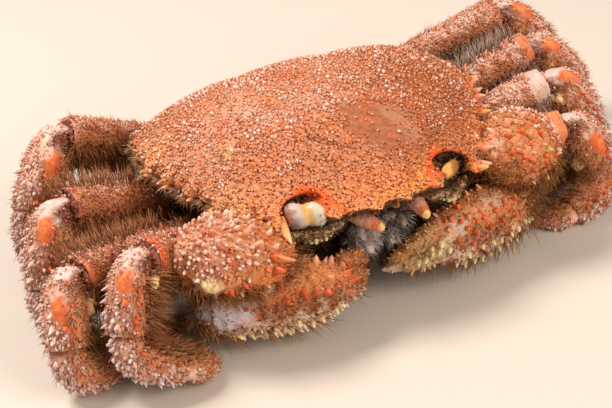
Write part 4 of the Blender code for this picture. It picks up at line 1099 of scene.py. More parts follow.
def paintLeg(limb, shape, leg, piece, seed):
    # frosted pink on the outer and upper faces, brown and furry in front and below, orange at the joints,
    # with painted shade near the body, inside the merus's rim and in the knee's hollow, and painted
    # highlights on the knee's oval and knob
    share, top, front = shape["share"], shape["top"], shape["front"]
    cloud, fine = mottle(shape["grid"], 13.0, seed), mottle(shape["grid"], 4.5, seed + 1)
    far = 1.0 if leg in farLegs else 0.0
    frost = (smooth(0.8 + 0.2 * far, 0.3 + 0.3 * far, front + 0.22 * fine)
             * smooth(-0.75, -0.15, top + 0.2 * cloud))
    if piece == "merus":
        rear = float(leg == "right_4")
        frost = frost * smooth(0.35, 0.95, share + 0.2 * cloud + 0.3 * far + 0.4 * rear) * (0.75 + 0.25 * far)
    pigment = layer(wash("#C88658", shape["grid"]), ("#8A5430", 0.6 * smooth(0.1, -0.8, top)),
                    ("#E8BFAC", frost * (0.8 + 0.2 * cloud)),
                    ("#C65A2A", 0.4 * smooth(0.3, 0.9, fine - 0.4 * cloud)))
    clear = np.zeros(share.shape)
    if piece == "merus":
        pigment = layer(pigment, ("#B5652F", 0.6 * smooth(0.35, 0.8, share) * (1 - frost)),
                        # painted shade under the shield: dark brown towards the body
                        ("#4A260F", smooth(0.75, 0.35, share) * (0.85 - 0.6 * far)
                         * (1 - 0.7 * rear * smooth(-0.2, 0.5, top))),
                        ("#A08C7E", 0.65 * far * smooth(0.5, -0.2, top) * (0.6 + 0.4 * cloud)))
        rimHex, rimWidth = knees[leg]["rim"]
        toEnd = (1 - share) * (limb[2] - limb[1])  # millimetres from the rim
        rim = (smooth(rimWidth + 0.5, rimWidth - 0.1, toEnd + 0.3 * fine)
               * (0.15 + 0.85 * smooth(-0.4, 0.3, top)))
        pigment = layer(pigment, (rimHex, rim * (0.85 + 0.15 * fine)),
                        ("#E6B49C", 0.5 * rim * smooth(0.3, -0.5, front)),
                        # painted shade inside the open end of the merus
                        ("#4A1C14", shape["inside"]))
        clear = np.maximum(rim * np.maximum(0.7 * smooth(-0.4, 0.4, front), float(rimWidth > 1.2)),
                           shape["inside"])
    if piece == "carpus":
        knee = knees[leg]
        start = 1 - smooth(0.02, 0.07, share)
        hollow = smooth(0.34, 0.24, share) * smooth(0.35, 0.65, front) * smooth(-0.5, -0.1, top)
        white = (smooth(0.03, 0.07, share) * smooth(0.32, 0.2, share + 0.04 * fine) * smooth(-0.1, 0.35, top)
                 * knee["white"])
        white = white * (1 - hollow)
        streaks = 0.5 + 0.5 * np.sin(share * 130 + 2 * fine)
        pigment = tint(tint(pigment, "#E8D6D0", white), "#CFA294", white * 0.4 * streaks)
        # painted shade in the hollow in front of the waist
        pigment = tint(tint(pigment, "#6E3020", hollow * 0.9), "#6A2A1C", start)
        clear = np.maximum(start * 0.6, white)
        ovalShare, ovalDegrees = knee["oval"]
        size = knee["knobSize"]
        marks = ((ovalShare - 0.1, ovalDegrees, 3.4, 2.8, 0.3, "#E2C8BC", 0.8 * knee["white"]),
                 (ovalShare, ovalDegrees, 3.7, 2.1, 0.9, "#E4661F", 0.95),
                 # a painted highlight: a paler orange spot on the upper side of the oval
                 (ovalShare - 0.02, ovalDegrees + 4, 2.3, 1.2, 0.2, "#F0944E", 0.85),
                 (*knee["knob"], 2.3 * size, 1.5 * size, 1.5 * size, "#FFE2A0", 0.97),
                 # a painted highlight: a small paler spot in the middle of the knob
                 (*knee["knob"], 1.2 * size, 0.8 * size, 0.3 * size, "#FFF6DC", 0.9))
        pigment, clear = addMarks(limb, shape, pigment, clear, marks)
    if piece in ("carpus", "propodus"):
        lilac = frost * (smooth(0.55, 0.85, share) if piece == "carpus" else 1.0)
        pigment = tint(pigment, "#D6B0A0", 0.6 * lilac)
        shape["lilac"] = lilac
    if piece == "propodus":
        start = 1 - smooth(0.02, 0.07, share)
        pigment, clear = tint(pigment, "#8A4A34", start), start * 0.8
    if piece == "dactyl":
        pigment = layer(pigment, ("#A8784E", 0.5 * share),
                        ("#4E3020", smooth(0.86, 0.97, share)))
        clear = np.maximum(1 - smooth(0.02, 0.08, share), smooth(0.85, 0.95, share))
    lilac = shape.get("lilac", np.zeros(share.shape))
    return makeSurface(shape["grid"], pigment, np.clip(1 - clear, 0, 1), share=share, top=top, front=front,
                       clear=clear, frost=frost, lilac=lilac)


pieceEnds = {
    "merus": {"startRows": ((0.0, 0.5),),
              "endRows": ((-0.1, 1.02), (0.3, 1.0), (0.4, 0.94), (0.0, 0.88), (-1.5, 0.8), (-2.5, 0.5))},
    "carpus": {"startRows": ((-2.4, 0.45), (-2.2, 0.7), (-1.0, 0.8), (0.4, 0.86)),
               "endRows": ((0.3, 1.0), (0.4, 0.9), (-0.6, 0.78), (-1.2, 0.5))},
    "propodus": {"startRows": ((-1.6, 0.45), (-1.4, 0.72), (-0.5, 0.84), (0.5, 0.93)),
                 "endRows": ((0.2, 0.98), (0.2, 0.86), (-0.8, 0.7))},
    "dactyl": {"startRows": ((-1.2, 0.5), (-1.0, 0.8), (-0.3, 0.92)), "endRows": ((0.3, 0.5),)},
    "palm": {"startRows": ((-1.6, 0.5), (-1.3, 0.85)), "endRows": ((0.2, 0.5),)},
    "finger": {"startRows": ((-0.6, 0.5), (-0.5, 0.85)), "endRows": ((0.2, 0.5),)},
    "clawCarpus": {"startRows": ((-0.6, 0.5), (-0.4, 0.8)),
                   "endRows": ((0.5, 0.88), (0.9, 0.66), (1.1, 0.35))},
}


def buildLeg(leg, number):
    side, place = leg.split("_")
    path = layPath(legJoints[leg], 6.6)
    grains, hairs, spines = [], [], []
    for index, piece in enumerate(("merus", "carpus", "propodus", "dactyl")):
        start, end = path["cuts"][index] + halfGap, path["cuts"][index + 1] - halfGap
        table, seed, corner = legTables[piece], 100 * number + 10 * index, legCorners[piece]
        limb = (path, start, end, table, 0.92)
        shape = roughen(tube(*limb, legRings[piece], 50, **pieceEnds[piece]), 0.16, 5.0, seed)
        surface = paintLeg(limb, shapeKnee(shape, piece), leg, piece, seed + 3)
        surface["grid"][..., 2] = np.maximum(surface["grid"][..., 2], floorGap)
        addSurface(f"leg{side.title()}{place}{piece.title()}", surface, legFinish,
                   [f"leg_{leg}_{piece}"])
        clear, top, share, frost, lilac = (surface[key]
                                           for key in ("clear", "top", "share", "frost", "lilac"))
        free = np.clip(1 - clear, 0, 1) * smooth(0.0, 0.06, share)
        free = (free * (smooth(24, 34, np.abs(surface["grid"][..., 0])) if piece == "merus"
                        else smooth(1.0, 0.98, share)))
        low = 0.35 + 0.65 * smooth(-0.7, 0.1, top)
        grains += granules(surface, grainLook["frost"], seed + 4, free * frost * (1 - 0.75 * lilac), corner)
        grains += granules(surface, grainLook["lilac"], seed + 5, free * lilac, corner)
        grains += granules(surface, grainLook["brown"], seed + 6, free * (1 - frost) * low, corner)
        hairs += bristles(surface, bristleLook["short"], seed + 7, free * frost, corner)
        seen = 0.45 + 0.55 * smooth(-0.5, 0.2, surface["front"])
        hairs += bristles(surface, bristleLook["fur"], seed + 8,
                          free * seen * (1 - 0.85 * frost) * (0.45 + 0.55 * low), corner)
        under = smooth(0.1, -0.7, top) * free * legFur[piece]
        curtain = bristleLook["curtain"] | (bristleLook["greyCurtain"] if leg in farLegs else {})
        if leg == "right_1" and piece in ("carpus", "propodus"):
            inner = free * smooth(0.5, 0.8, surface["front"]) * smooth(0.5, 0.1, top) * 0.8
            hairs += bristles(surface, {**curtain, "length": 4.5}, seed + 14, inner, corner,
                              flow=(0.8, -0.3, -0.5))
        if piece == "merus":
            screen = free * smooth(0.3, -0.1, top) * smooth(-0.2, 0.3, surface["front"]) * (leg[-1] != "1")
            hairs += bristles(surface, curtain, seed + 10, screen, corner, flow=(0, -0.5, -0.85))
        if piece == "merus" and leg in ("right_3", "right_2", "left_3"):
            ruff = (free * smooth(0.15, 0.4, top) * smooth(0.35, -0.1, surface["front"])
                    * smooth(0.45, 0.6, share) * 0.7)
            hairs += bristles(surface, {**curtain, "length": 4.2}, seed + 12, ruff, corner,
                              flow=(0, 0.55, 0.85))
        hairs += bristles(surface, bristleLook["long"], seed + 9, under, corner)
        spines += rowSpines(limb, legRows[piece], seed + 1)
        if piece == "carpus":
            spines += addStuds(limb, knees[leg]["studs"], corner, seed + 2)
    name = f"leg{side.title()}{place}"
    addCoat(name + "Granules", grains + spines, grainFinish)
    addCoat(name + "Bristles", hairs, bristleFinish)


for number, leg in enumerate(legJoints):
    buildLeg(leg, number + 1)
print("legs built")


# claws

clawTables = {
    "merus": ((0.0, 6.5, 5.5), (0.5, 8.0, 6.5), (1.0, 8.0, 7.0)),
    "carpus": ((0.0, 4.0, 4.5), (0.12, 7.5, 8.0), (0.35, 10.5, 11.5), (0.62, 10.8, 11.5), (0.86, 8.5, 9.0),
               (1.0, 5.0, 6.0)),
    "palm": ((0.0, 4.2, 3.2), (0.07, 7.2, 5.2), (0.32, 9.4, 6.5), (0.56, 8.7, 6.0), (0.72, 5.2, 4.3),
             (0.88, 3.2, 2.8), (1.0, 0.7, 0.7)),
    "finger": ((0.0, 2.9, 2.8), (0.3, 3.2, 2.7), (0.75, 2.1, 1.9), (1.0, 0.6, 0.6)),
}
clawTables["rightCarpus"] = ((0.0, 4.0, 4.5), (0.12, 7.5, 8.0), (0.35, 10.5, 11.5), (0.62, 9.6, 11.0),
                             (0.86, 7.2, 8.4), (1.0, 4.2, 5.6))
clawFullness = {"merus": 0.9, "carpus": 0.9, "palm": 0.72, "finger": 1.0}
clawFur = {"merus": 1.0, "carpus": 0.9, "palm": 0.15, "finger": 0.2}  # how much long hair hangs below each
clawRings = {"merus": 30, "carpus": 84, "palm": 104, "finger": 44}  # sections along each
clawJoints = {
    "right": {"merus": ((-22, -22, 15), (-46, -34, 22)), "carpus": ((-57, -35, 30.0), (-29, -48, 27.4)),
              "palm": ((-53, -40, 14), (-17, -52, 16.5), (-9, -47, 14), (-7, -41, 11)),
              "finger": ((-15, -48.5, 20.4), (-8.5, -45.5, 18.8), (-4.5, -40.5, 12.6))},
    "left": {"merus": ((22, -20, 15), (46, -28, 22)), "carpus": ((61, -26, 29), (39, -41, 30)),
             "palm": ((51, -38, 14.5), (18, -47, 17), (8, -46, 13), (0.5, -43, 10.5)),
             "finger": ((17, -47.5, 21.5), (9, -48.5, 19), (0.5, -45.5, 13))},
}
clawRows = {
    "carpus": ((-25, 0.35, 0.8, 3, 1.4, 0.9, "#C98A5C", "#EBD0B0"),
               (0, 0.25, 0.85, 4, 1.5, 0.9, "#CC5E28", "#DC4E1C"),
               (28, 0.3, 0.8, 4, 1.6, 0.9, "#D07A4A", "#EBB894"),
               (56, 0.22, 0.86, 5, 1.6, 1.0, "#D88A60", "#F0D0BC"),
               (84, 0.3, 0.8, 4, 1.6, 1.0, "#D88A60", "#F0D4C4"),
               (112, 0.25, 0.8, 4, 1.5, 1.0, "#DC9A78", "#F0DACE")),
    "palm": ((-52, 0.16, 0.62, 8, 1.8, 1.2, "#D2B27C", "#F2E4B4"),
             (-22, 0.2, 0.6, 6, 1.4, 0.6, "#9A6438", "#D9AC74"),
             (8, 0.22, 0.62, 5, 1.8, 1.1, "#D4703C", "#E0521E"),
             (48, 0.2, 0.64, 6, 2.0, 1.2, "#CF7A4C", "#E8A67C"),
             (100, 0.24, 0.64, 5, 1.7, 1.0, "#CF7448", "#EBB494"),
             (-40, 0.7, 0.86, 4, 1.1, 0.7, "#B98A48", "#E6D290")),
    "finger": ((60, 0.25, 0.7, 4, 1.0, 0.7, "#C8662E", "#DC9A58"),),
    "merus": (),
}
clawCorners = legCorners | {"palm": legCorners["propodus"], "finger": legCorners["dactyl"]}
# ovals: share, degrees, reach along and across, rise, colour, strength
clawMarks = {
    "right": {
        "carpus": ((0.31, -9, 4.2, 3.2, 0.6, "#E6D2B4", 0.75), (0.33, -7, 2.6, 2.0, 0.9, "#FFE8A4", 0.95),
                   (0.80, -57, 3.2, 3.0, 1.2, "#DEB8AC", 0.9), (0.80, -8, 4.5, 4.0, 0.2, "#DC8A3E", 0.45),
                   (0.60, 5, 3.0, 2.4, 0.0, "#DE9A58", 0.6), (0.47, -2, 3.4, 2.0, 0.2, "#E0A468", 0.6)),
        "palm": ((0.11, 6, 8.0, 5.0, 0.2, "#C6CAD2", 0.95), (0.19, -4, 3.2, 2.4, 0.1, "#D8B4BC", 0.6),
                 (0.55, 55, 6.5, 4.2, 0.0, "#CF8440", 0.5))},
    "left": {
        "carpus": ((0.95, 97, 2.6, 2.4, 0.3, "#DCC0A4", 0.45), (0.80, 30, 4.0, 3.0, 0.2, "#E0A070", 0.5),
                   (0.62, 40, 4.5, 3.5, 0.0, "#DC905C", 0.5)),
        "palm": ((0.36, 62, 4.0, 3.0, 0.2, "#C9B0A0", 0.5), (0.62, 32, 3.6, 3.0, 0.0, "#C6C8B8", 0.6),
                 (0.68, 12, 4.0, 2.4, 0.0, "#CFCBA4", 0.6), (0.76, 20, 6.0, 4.0, 0.0, "#C9C290", 0.7))},
}
# single spines and balls: share, degrees, then profile, height, radius and two colours
clawStuds = {
    "right": {
        "carpus": (*studs(redSpine, (0.49, -17), (0.61, -7), (0.43, -12)),
                   (0.90, -33, spike, 2.6, 1.3, "#D2602E", "#DC3E12"),
                   *studs(pinkSpine, (0.73, 58), (0.62, 74)), *studs(redSpine, (0.86, 34), (0.80, 12)),
                   (0.86, 34, spike, 6.0, 1.4, "#C8642E", "#E8945C", 2.0),
                   (0.88, 8, spike, 3.0, 1.6, "#C86A34", "#DC5A30", 1.2)),
        "palm": (*studs(redSpine, (0.42, 13), (0.51, 18), (0.57, 14), (0.63, 13), (0.70, 3)),
                 *studs(pinkSpine, (0.60, 92), (0.67, 108), (0.73, 100)),
                 *studs(redSpine, (0.70, 58), (0.72, 30)),
                 *studs(creamPeg, (0.13, -57), (0.18, -58), (0.23, -57), (0.28, -57), (0.34, -56),
                        (0.41, -55), (0.47, -54), (0.53, -45), (0.58, -38), (0.65, -36), (0.67, -17),
                        (0.34, -38), (0.46, -28)))},
    "left": {
        "carpus": ((0.61, 18, spike, 3.2, 1.3, "#EBC878", "#B08040"),
                   *studs(redBall, (0.95, 56), (0.85, 18), (0.73, 68), (0.58, 47)), (0.70, 92, *pinkSpine),
                   *studs(redBall, (0.78, 44), (0.90, 30), (0.50, 66), (0.84, 84), (0.66, 12))),
        "palm": (*studs(redBall, (0.56, 83), (0.60, 47), (0.51, 28), (0.58, 23), (0.46, 32), (0.37, 32),
                        (0.30, 43), (0.21, 43), (0.14, 72), (0.62, 66), (0.54, -3)),
                 *studs(creamPeg, (0.13, -8), (0.05, -17), (0.09, -12), (0.18, -15), (0.24, -20), (0.32, -17),
                        (0.39, -16), (0.47, -13), (0.56, -22), (0.66, 0), (0.70, 6), (0.74, 10), (0.78, 4),
                        (0.68, 24), (0.73, 26), (0.82, 8)))},
}


def paintClaw(limb, shape, piece, side, seed):
    # tan-orange above, frosted at the outer end, brown and furry in front and below, greenish fingers, and
    # the merus dark with painted shade
    share, top, front = shape["share"], shape["top"], shape["front"]
    cloud, fine = mottle(shape["grid"], 14.0, seed), mottle(shape["grid"], 5.0, seed + 1)
    frost, furry = np.zeros(share.shape), smooth(0.05, -0.35, top + 0.15 * fine)
    pigment = layer(wash("#C47440" if side == "right" else "#CA8452", shape["grid"]),
                    ("#D99A6A", 0.5 * smooth(-0.2, 0.9, top) * (0.6 + 0.4 * cloud)),
                    ("#C4541E", 0.5 * smooth(0.2, 0.9, fine - 0.3 * cloud)))
    clear = np.zeros(share.shape)
    if piece == "carpus":
        reach = 0.55 if side == "right" else 0.35
        frost = smooth(reach + 0.2, reach - 0.15, share + 0.12 * fine) * smooth(-0.3, 0.2, top)
        pigment = layer(pigment, ("#D69A80", 0.75 * frost),
                        ("#B5602A", 0.6 * smooth(0.8, 1.0, share)))
        clear = 1 - smooth(0.02, 0.07, share)
    if piece == "palm":
        # brown below the ridge, paler again towards the lower edge
        furry = smooth(0.32, 0.1, top + 0.06 * fine) * smooth(0.2, 0.34, share) * smooth(0.74, 0.66, share)
        furry = furry * (0.25 + 0.75 * smooth(-0.6, -0.2, top))
        pigment = layer(pigment, ("#8A5230", 0.85 * furry),
                        ("#E2CDB8", 0.9 * smooth(0.0, -0.4, top + 0.2 * fine)),
                        ("#7E5430" if side == "right" else "#B0A074", 0.8 * smooth(0.68, 0.76, share)),
                        ("#6A4426" if side == "right" else "#DCC8AC", smooth(0.86, 0.95, share)),
                        ("#8A6248", 0.9 * smooth(0.05, 0.01, share)))
        frost = (0.8 * smooth(-0.25, -0.55, top) * smooth(0.2, 0.3, share) * smooth(0.75, 0.65, share)
                 * (side == "right"))
        clear = smooth(0.84, 0.9, share) * (0.7 if side == "right" else 1.0)
    if piece == "finger":
        pigment = layer(pigment, ("#7A5230" if side == "right" else "#A88A58",
                                  0.85 * smooth(-0.1, 0.3, share)),
                        ("#5E3E24", smooth(0.8, 0.97, share)))
        clear = smooth(0.5, 0.7, share)
    if piece == "merus":
        # painted shade under the shield: the claw's merus is laid dark brown
        pigment = tint(pigment, "#5A3218", 0.8)
    pigment, clear = addMarks(limb, shape, pigment, clear, clawMarks[side].get(piece, ()))
    return makeSurface(shape["grid"], pigment, np.clip(1 - clear, 0, 1), share=share, top=top, front=front,
                       clear=clear, frost=frost, furry=furry)


def buildClaw(side, number):
    grains, hairs, spines = [], [], []
    for index, piece in enumerate(("carpus", "palm", "finger", "merus")):
        path = layPath(clawJoints[side][piece], 8)
        seed, corner = 1000 * number + 10 * index, clawCorners[piece]
        limb = (path, 0.0, path["run"][-1], clawTables.get(side + piece.title(), clawTables[piece]),
                clawFullness[piece])
        ends = pieceEnds.get({"carpus": "clawCarpus", "merus": ""}.get(piece, piece), {})
        shape = roughen(tube(*limb, clawRings[piece], 76, **ends), 0.22, 6.0, seed)
        surface = paintClaw(limb, shape, piece, side, seed + 3)
        surface["grid"][..., 2] = np.maximum(surface["grid"][..., 2], floorGap)
        addSurface(f"claw{side.title()}{piece.title()}", surface, clawFinish,
                   [f"claw_{piece}_{side}"])
        clear, top, share, frost, furry = (surface[key]
                                           for key in ("clear", "top", "share", "frost", "furry"))
        free = np.clip(1 - clear * 0.9, 0, 1) * smooth(-0.02, 0.02, share)
        if piece == "merus":
            free = free * 0.3
        grains += granules(surface, grainLook["clawPale"], seed + 4, free * frost, corner)
        bare = 0.7 * smooth(-0.1, -0.5, top) if piece == "palm" else 0.0
        grains += granules(surface, grainLook["clawTan"], seed + 5, free * (1 - frost) * (1 - 0.7 * furry)
                           * (1 - bare), corner)
        hairs += bristles(surface, bristleLook["short"], seed + 6, free * (0.3 + 0.4 * (1 - furry)), corner)
        hairs += bristles(surface, bristleLook["claw"], seed + 7, free * furry, corner)
        under = smooth(0.0, -0.6, top) * free * clawFur[piece]
        if piece == "carpus":
            under = np.maximum(under, free * smooth(0.88, 0.98, share) * smooth(0.9, 0.4, top) * 0.8)
        if piece == "palm":
            under = under + free * smooth(0.2, 0.03, share) * (0.8 + 0.8 * smooth(0.1, 0.02, share))
        hairs += bristles(surface, bristleLook["long"], seed + 8, under, corner)
        spines += rowSpines(limb, clawRows[piece], seed + 1)
        spines += addStuds(limb, clawStuds[side].get(piece, ()), corner, seed + 2)
    addCoat(f"claw{side.title()}Granules", grains + spines, grainFinish)
    addCoat(f"claw{side.title()}Bristles", hairs, bristleFinish)


for number, side in enumerate(("right", "left")):
    buildClaw(side, number + 1)
print("claws built")


# belly, flap, eyes, feelers and mouth

bellyFinish = boiledShell("boiled belly shell", {
    "roughness": 0.5, "cell": 2.2, "pit": 1.8, "pale": 0.2, "dark": 0.25, "bump": 0.25,
    "blotchHex": "#D9A27A", "paleHex": "#F1DCC8", "pitHex": "#A8683E"})
feelerFinish = boiledShell("feeler shell", {
    "roughness": 0.4, "cell": 0.9, "pit": 0.8, "pale": 0.25, "dark": 0.6, "bump": 0.25,
    "blotchHex": "#E8703A", "paleHex": "#F6D9B8", "pitHex": "#A8421C"})
mouthFinish = boiledShell("mouth plates", {
    "roughness": 0.45, "cell": 1.2, "pit": 1.0, "pale": 0.4, "dark": 0.4, "bump": 0.3,
    "blotchHex": "#A9A7A6", "paleHex": "#E4E2DE", "pitHex": "#6E5A48"})
corneaFinish, corneaTree, corneaShader = newMaterial("boiled cornea", 0.4, 0.4)
corneaPigment = addNode(corneaTree, "Attribute", {"attribute_name": "pigment"})
corneaTree.links.new(corneaPigment.outputs["Color"], corneaShader.inputs["Base Color"])


def bandGrid(rings, fullness, rows, columns):
    # sections read from rows of (height, half x, front y, rear y), stood on end
    z = np.linspace(rings[0][0], rings[-1][0], rows)
    halfX, front, rear = (readTable(rings, z, column)[:, None] for column in (1, 2, 3))
    turn = 2 * pi * (np.arange(columns) + 0.5) / columns
    c, n = (np.sign(f(turn)) * np.abs(f(turn))**fullness for f in (np.cos, np.sin))
    return np.stack([halfX * c, (front + rear) / 2 + (rear - front) / 2 * n,
                     np.broadcast_to(z[:, None], (rows, columns))], axis=-1)


belly = {
    "rings": ((2.6, 20.0, -22.0, 31.0), (4.0, 24.0, -27.0, 35.0), (8.0, 28.5, -32.0, 38.0),
              (15.0, 31.0, -35.0, 39.0), (21.4, 32.0, -36.0, 39.0)),
    "fullness": 0.72, "plateStart": -24.0, "plate": 12.5, "furrow": 0.8,
}


def buildBelly():
    # furrows between the plates of the underside: bell curves in y, once for each plate
    grid = bandGrid(belly["rings"], belly["fullness"], 60, 160)
    place = ((grid[..., 1] - belly["plateStart"]) / belly["plate"]) % 1.0 - 0.5
    furrow = np.exp(-place**2 / 0.012) * smooth(4, 16, np.abs(grid[..., 0])) * smooth(20, 12, grid[..., 2])
    grid = grid - gridNormals(grid) * (furrow * belly["furrow"])[..., None]
    pigment = layer(wash("#E7C9A8", grid), ("#C98A5A", 0.4 + 0.4 * mottle(grid, 12.0, 61)),
                    # painted shade under the shield: nearly black from 6 mm up
                    ("#2E1C12", smooth(6, 14, grid[..., 2])),
                    ("#8A5A38", furrow * 0.6))
    surface = makeSurface(grid, pigment, np.full(grid.shape[:2], 0.5))
    addSurface("bellyShell", surface, bellyFinish, ["thorax"])
    front = smooth(-20, -32, grid[..., 1]) * smooth(3.5, 8, grid[..., 2])
    hairs = bristles(surface, bristleLook["fur"], 62, 0.15 * smooth(3.5, 8, grid[..., 2]),
                     flow=(0, -0.6, -0.8))
    hairs += bristles(surface, {**orbitHair, "spacing": 1.1, "each": 3, "length": 3.0}, 63, front,
                      flow=(0, -0.7, -0.5))
    addCoat("bellyBristles", hairs, bristleFinish)


flap = {
    "joints": ((0, 43.5, 22.5), (0, 42.5, 1.1), (0, -12.0, 1.1)), "bend": 9.0, "segments": 7, "wrap": 0.021,
    # share of the length, half thickness, half width
    "sections": ((0.0, 1.6, 15.0), (0.3, 1.9, 15.0), (0.6, 1.6, 13.0), (0.85, 1.4, 9.0), (1.0, 1.2, 5.0)),
}


def buildFlap():
    # segments with grooves between them, and the upright rear part is bent round the body by x squared
    path = layPath(flap["joints"], flap["bend"], (1, 0, 0))
    shape = tube(path, 0, path["run"][-1], flap["sections"], 0.8, 110, 64)
    step = (shape["share"] * flap["segments"]) % 1.0 - 0.5
    joint = np.exp(-step**2 / 0.006)
    lift = 0.9 * np.abs(step)**0.5 - 0.7 * joint - 0.3
    grid = shape["grid"] + gridNormals(shape["grid"]) * lift[..., None]
    grid[..., 1] -= flap["wrap"] * grid[..., 0]**2 * smooth(1.5, 9.0, grid[..., 2])
    grid[..., 2] = np.maximum(grid[..., 2], floorGap)
    pigment = layer(wash("#E8C6A2", grid), ("#D08A54", 0.35 + 0.35 * mottle(grid, 9.0, 64)),
                    ("#B06A40", 0.8 * smooth(2, 9, grid[..., 2])),
                    ("#7A4A2A", joint * 0.6))
    surface = makeSurface(grid, pigment, np.full(grid.shape[:2], 0.6))
    addSurface("flapShell", surface, bellyFinish, ["abdomen"])
    hairs = bristles(surface, {**bristleLook["fur"], "spacing": 1.1}, 65, 0.95 * smooth(2, 6, grid[..., 2]))
    addCoat("flapBristles", hairs, bristleFinish)


eyes = {
    # distance along the stalk from its middle, and radius: an inner lobe, a waist and the outer lobe
    "profile": ((-5.9, 0.5), (-5.3, 2.3), (-3.6, 3.6), (-1.9, 3.5), (-0.4, 3.0), (1.4, 3.7), (3.4, 3.5),
                (4.9, 2.2), (5.4, 0.5)),
    "right": {"size": 0.96, "axis": (0.95, -0.28, 0.06), "ground": "#B8ACA4", "waist": "#E4AE58",
              "inner": "#C6CAB6", "outer": "#C2B8B2", "end": "#B4705E", "low": "#9A9698"},
    "left": {"size": 0.6, "axis": (0.9, 0.35, 0.1), "ground": "#C08A40", "waist": "#E6B05A",
             "inner": "#3A2414", "outer": "#9A6A34", "end": "#3A2418", "low": "#5A3A1E",
             "shift": (-1.0, 0, -0.3), "stalk": 0.65},
}


def buildEye(side, word):
    # a surface of revolution round the stalk, with its lobes and waist told apart by colour, and painted
    # shade on its underside
    look, rows, columns = eyes[word], 70, 48
    middle = np.array(shield["orbit"]) * (side, 1, 1) + np.array([0, -0.3, -0.6]) + look.get("shift", 0)
    axis = unit(np.array(look["axis"]) * side * (1, 1, side))
    along = np.linspace(eyes["profile"][0][0], eyes["profile"][-1][0], rows)
    turn = 2 * pi * (np.arange(columns) + 0.5) / columns
    wide = (look["size"] * readTable(eyes["profile"], along)
            * (1 - look.get("stalk", 0) * smooth(-0.5, -2.2, along)))[:, None]
    ring = np.stack([np.zeros((rows, columns)), wide * np.sin(turn), wide * np.cos(turn)], axis=-1)
    grid = (middle + axis * along[:, None])[:, None] + ring
    grid = grid + gridNormals(grid) * (mottle(grid, 4.0, 76 + side) * 0.12)[..., None]
    along = np.broadcast_to(along[:, None], (rows, columns)) + 0.5 * mottle(grid, 3.0, 70 + side)
    low = smooth(0.3, -0.6, np.broadcast_to(np.cos(turn), (rows, columns)))
    pigment = layer(wash(look["ground"], grid), (look["inner"], smooth(-0.9, -2.0, along)),
                    (look["outer"], smooth(0.6, 1.8, along)),
                    # painted shade on the underside of the eye
                    (look["low"], low * 0.8 * smooth(-1.5, 0.5, along)),
                    (look["waist"], np.exp(-((along + 0.3) / 1.1)**2) * (1 - 0.6 * low)),
                    (look["end"], smooth(3.0, 4.0, along) * 0.7))
    surface = makeSurface(grid, pigment, np.zeros(grid.shape[:2]))
    addSurface(f"eye{word.title()}", surface, corneaFinish, [f"eye_{word}"])
    hairs = bristles(surface, {**bristleLook["short"], "spacing": 0.9, "length": 0.9}, 72 + side,
                     smooth(2.4, 3.6, along) * 0.5 + 0.04)
    addCoat(f"eye{word.title()}Bristles", hairs, bristleFinish)


# the ledge under each eye: its path and the radius of its section, with a row of small cream teeth along it
ledge = {"path": ((29.0, -40.5, 30.8), (24.0, -44.6, 30.0), (18.5, -47.0, 31.0), (12.0, -46.6, 32.6)),
         "radius": 1.5, "teeth": ((0.36, 1.2, 0.6), (0.43, 1.6, 0.85), (0.51, 1.8, 0.95), (0.58, 1.4, 0.7),
                                  (0.64, 1.5, 0.8), (0.72, 1.0, 0.6))}


def buildLedge(side, word):
    joints = [np.array(joint) * (side, 1, 1) for joint in ledge["path"]]
    path = layPath(joints, 5, (0, 0, 1))
    r = ledge["radius"]
    table = ((0.0, r * 0.4, r * 0.5), (0.15, r, r), (0.85, r, r), (1.0, r * 0.4, r * 0.5))
    shape = roughen(tube(path, 0.0, path["run"][-1], table, 1.0, 60, 24), 0.12, 2.5, 96 + side)
    pigment = wash("#5A4028", shape["grid"])
    pigment = tint(pigment, "#B8A276", 0.5 + 0.5 * mottle(shape["grid"], 3.0, 97))
    surface = makeSurface(shape["grid"], pigment, np.full(shape["share"].shape, 0.6))
    addSurface(f"orbitLedge{word.title()}", surface, shellFinish, [])
    rng = np.random.default_rng(98)
    coat = bristles(surface, {**orbitHair, "spacing": 0.7, "length": 1.2}, 99,
                    0.8 * np.ones(shape["share"].shape))
    for share, tall, radius in ledge["teeth"]:
        middle, along, _, _ = frameAt(path, np.array([share * path["run"][-1]]))
        out = unit(np.array([[side * 0.1, -0.8, -0.55]]) + rng.normal(size=(1, 3)) * 0.08)
        roots = {"place": middle + out * r * 0.7, "normal": out, "along": along,
                 "uv": np.array([[0.25, share]])}
        coat.append(grow(roots, tall, radius, ball, 8, 0.0, np.zeros(3), hexLinear("#9A7A4A")[None],
                         hexLinear("#DCCB9C")[None]))
    addCoat(f"orbitLedge{word.title()}Teeth", coat, bristleFinish)


feelerJoints = {
    "antenna_right": ((-10, -41, 33.0), (-6.5, -47.5, 31.5), (-3.5, -52.5, 30.3)),
    "antenna_left": ((10, -41, 33.0), (9.3, -48.0, 31.8), (9.6, -53.5, 30.3)),
    "antennule_right": ((-3.0, -42.5, 34.5), (-3.2, -47.5, 32.5), (-3.0, -48.5, 35.0)),
    "antennule_left": ((3.0, -42.5, 34.5), (3.2, -47.5, 32.5), (3.0, -48.5, 35.0)),
}
feelerTables = {"antenna": ((0.0, 2.2, 2.4), (0.45, 2.3, 2.4), (0.62, 2.1, 2.2), (0.8, 1.7, 1.7),
                            (0.93, 1.3, 1.3), (1.0, 0.7, 0.7)),
                "antennule": ((0.0, 1.3, 1.4), (0.6, 1.2, 1.2), (1.0, 0.7, 0.7))}


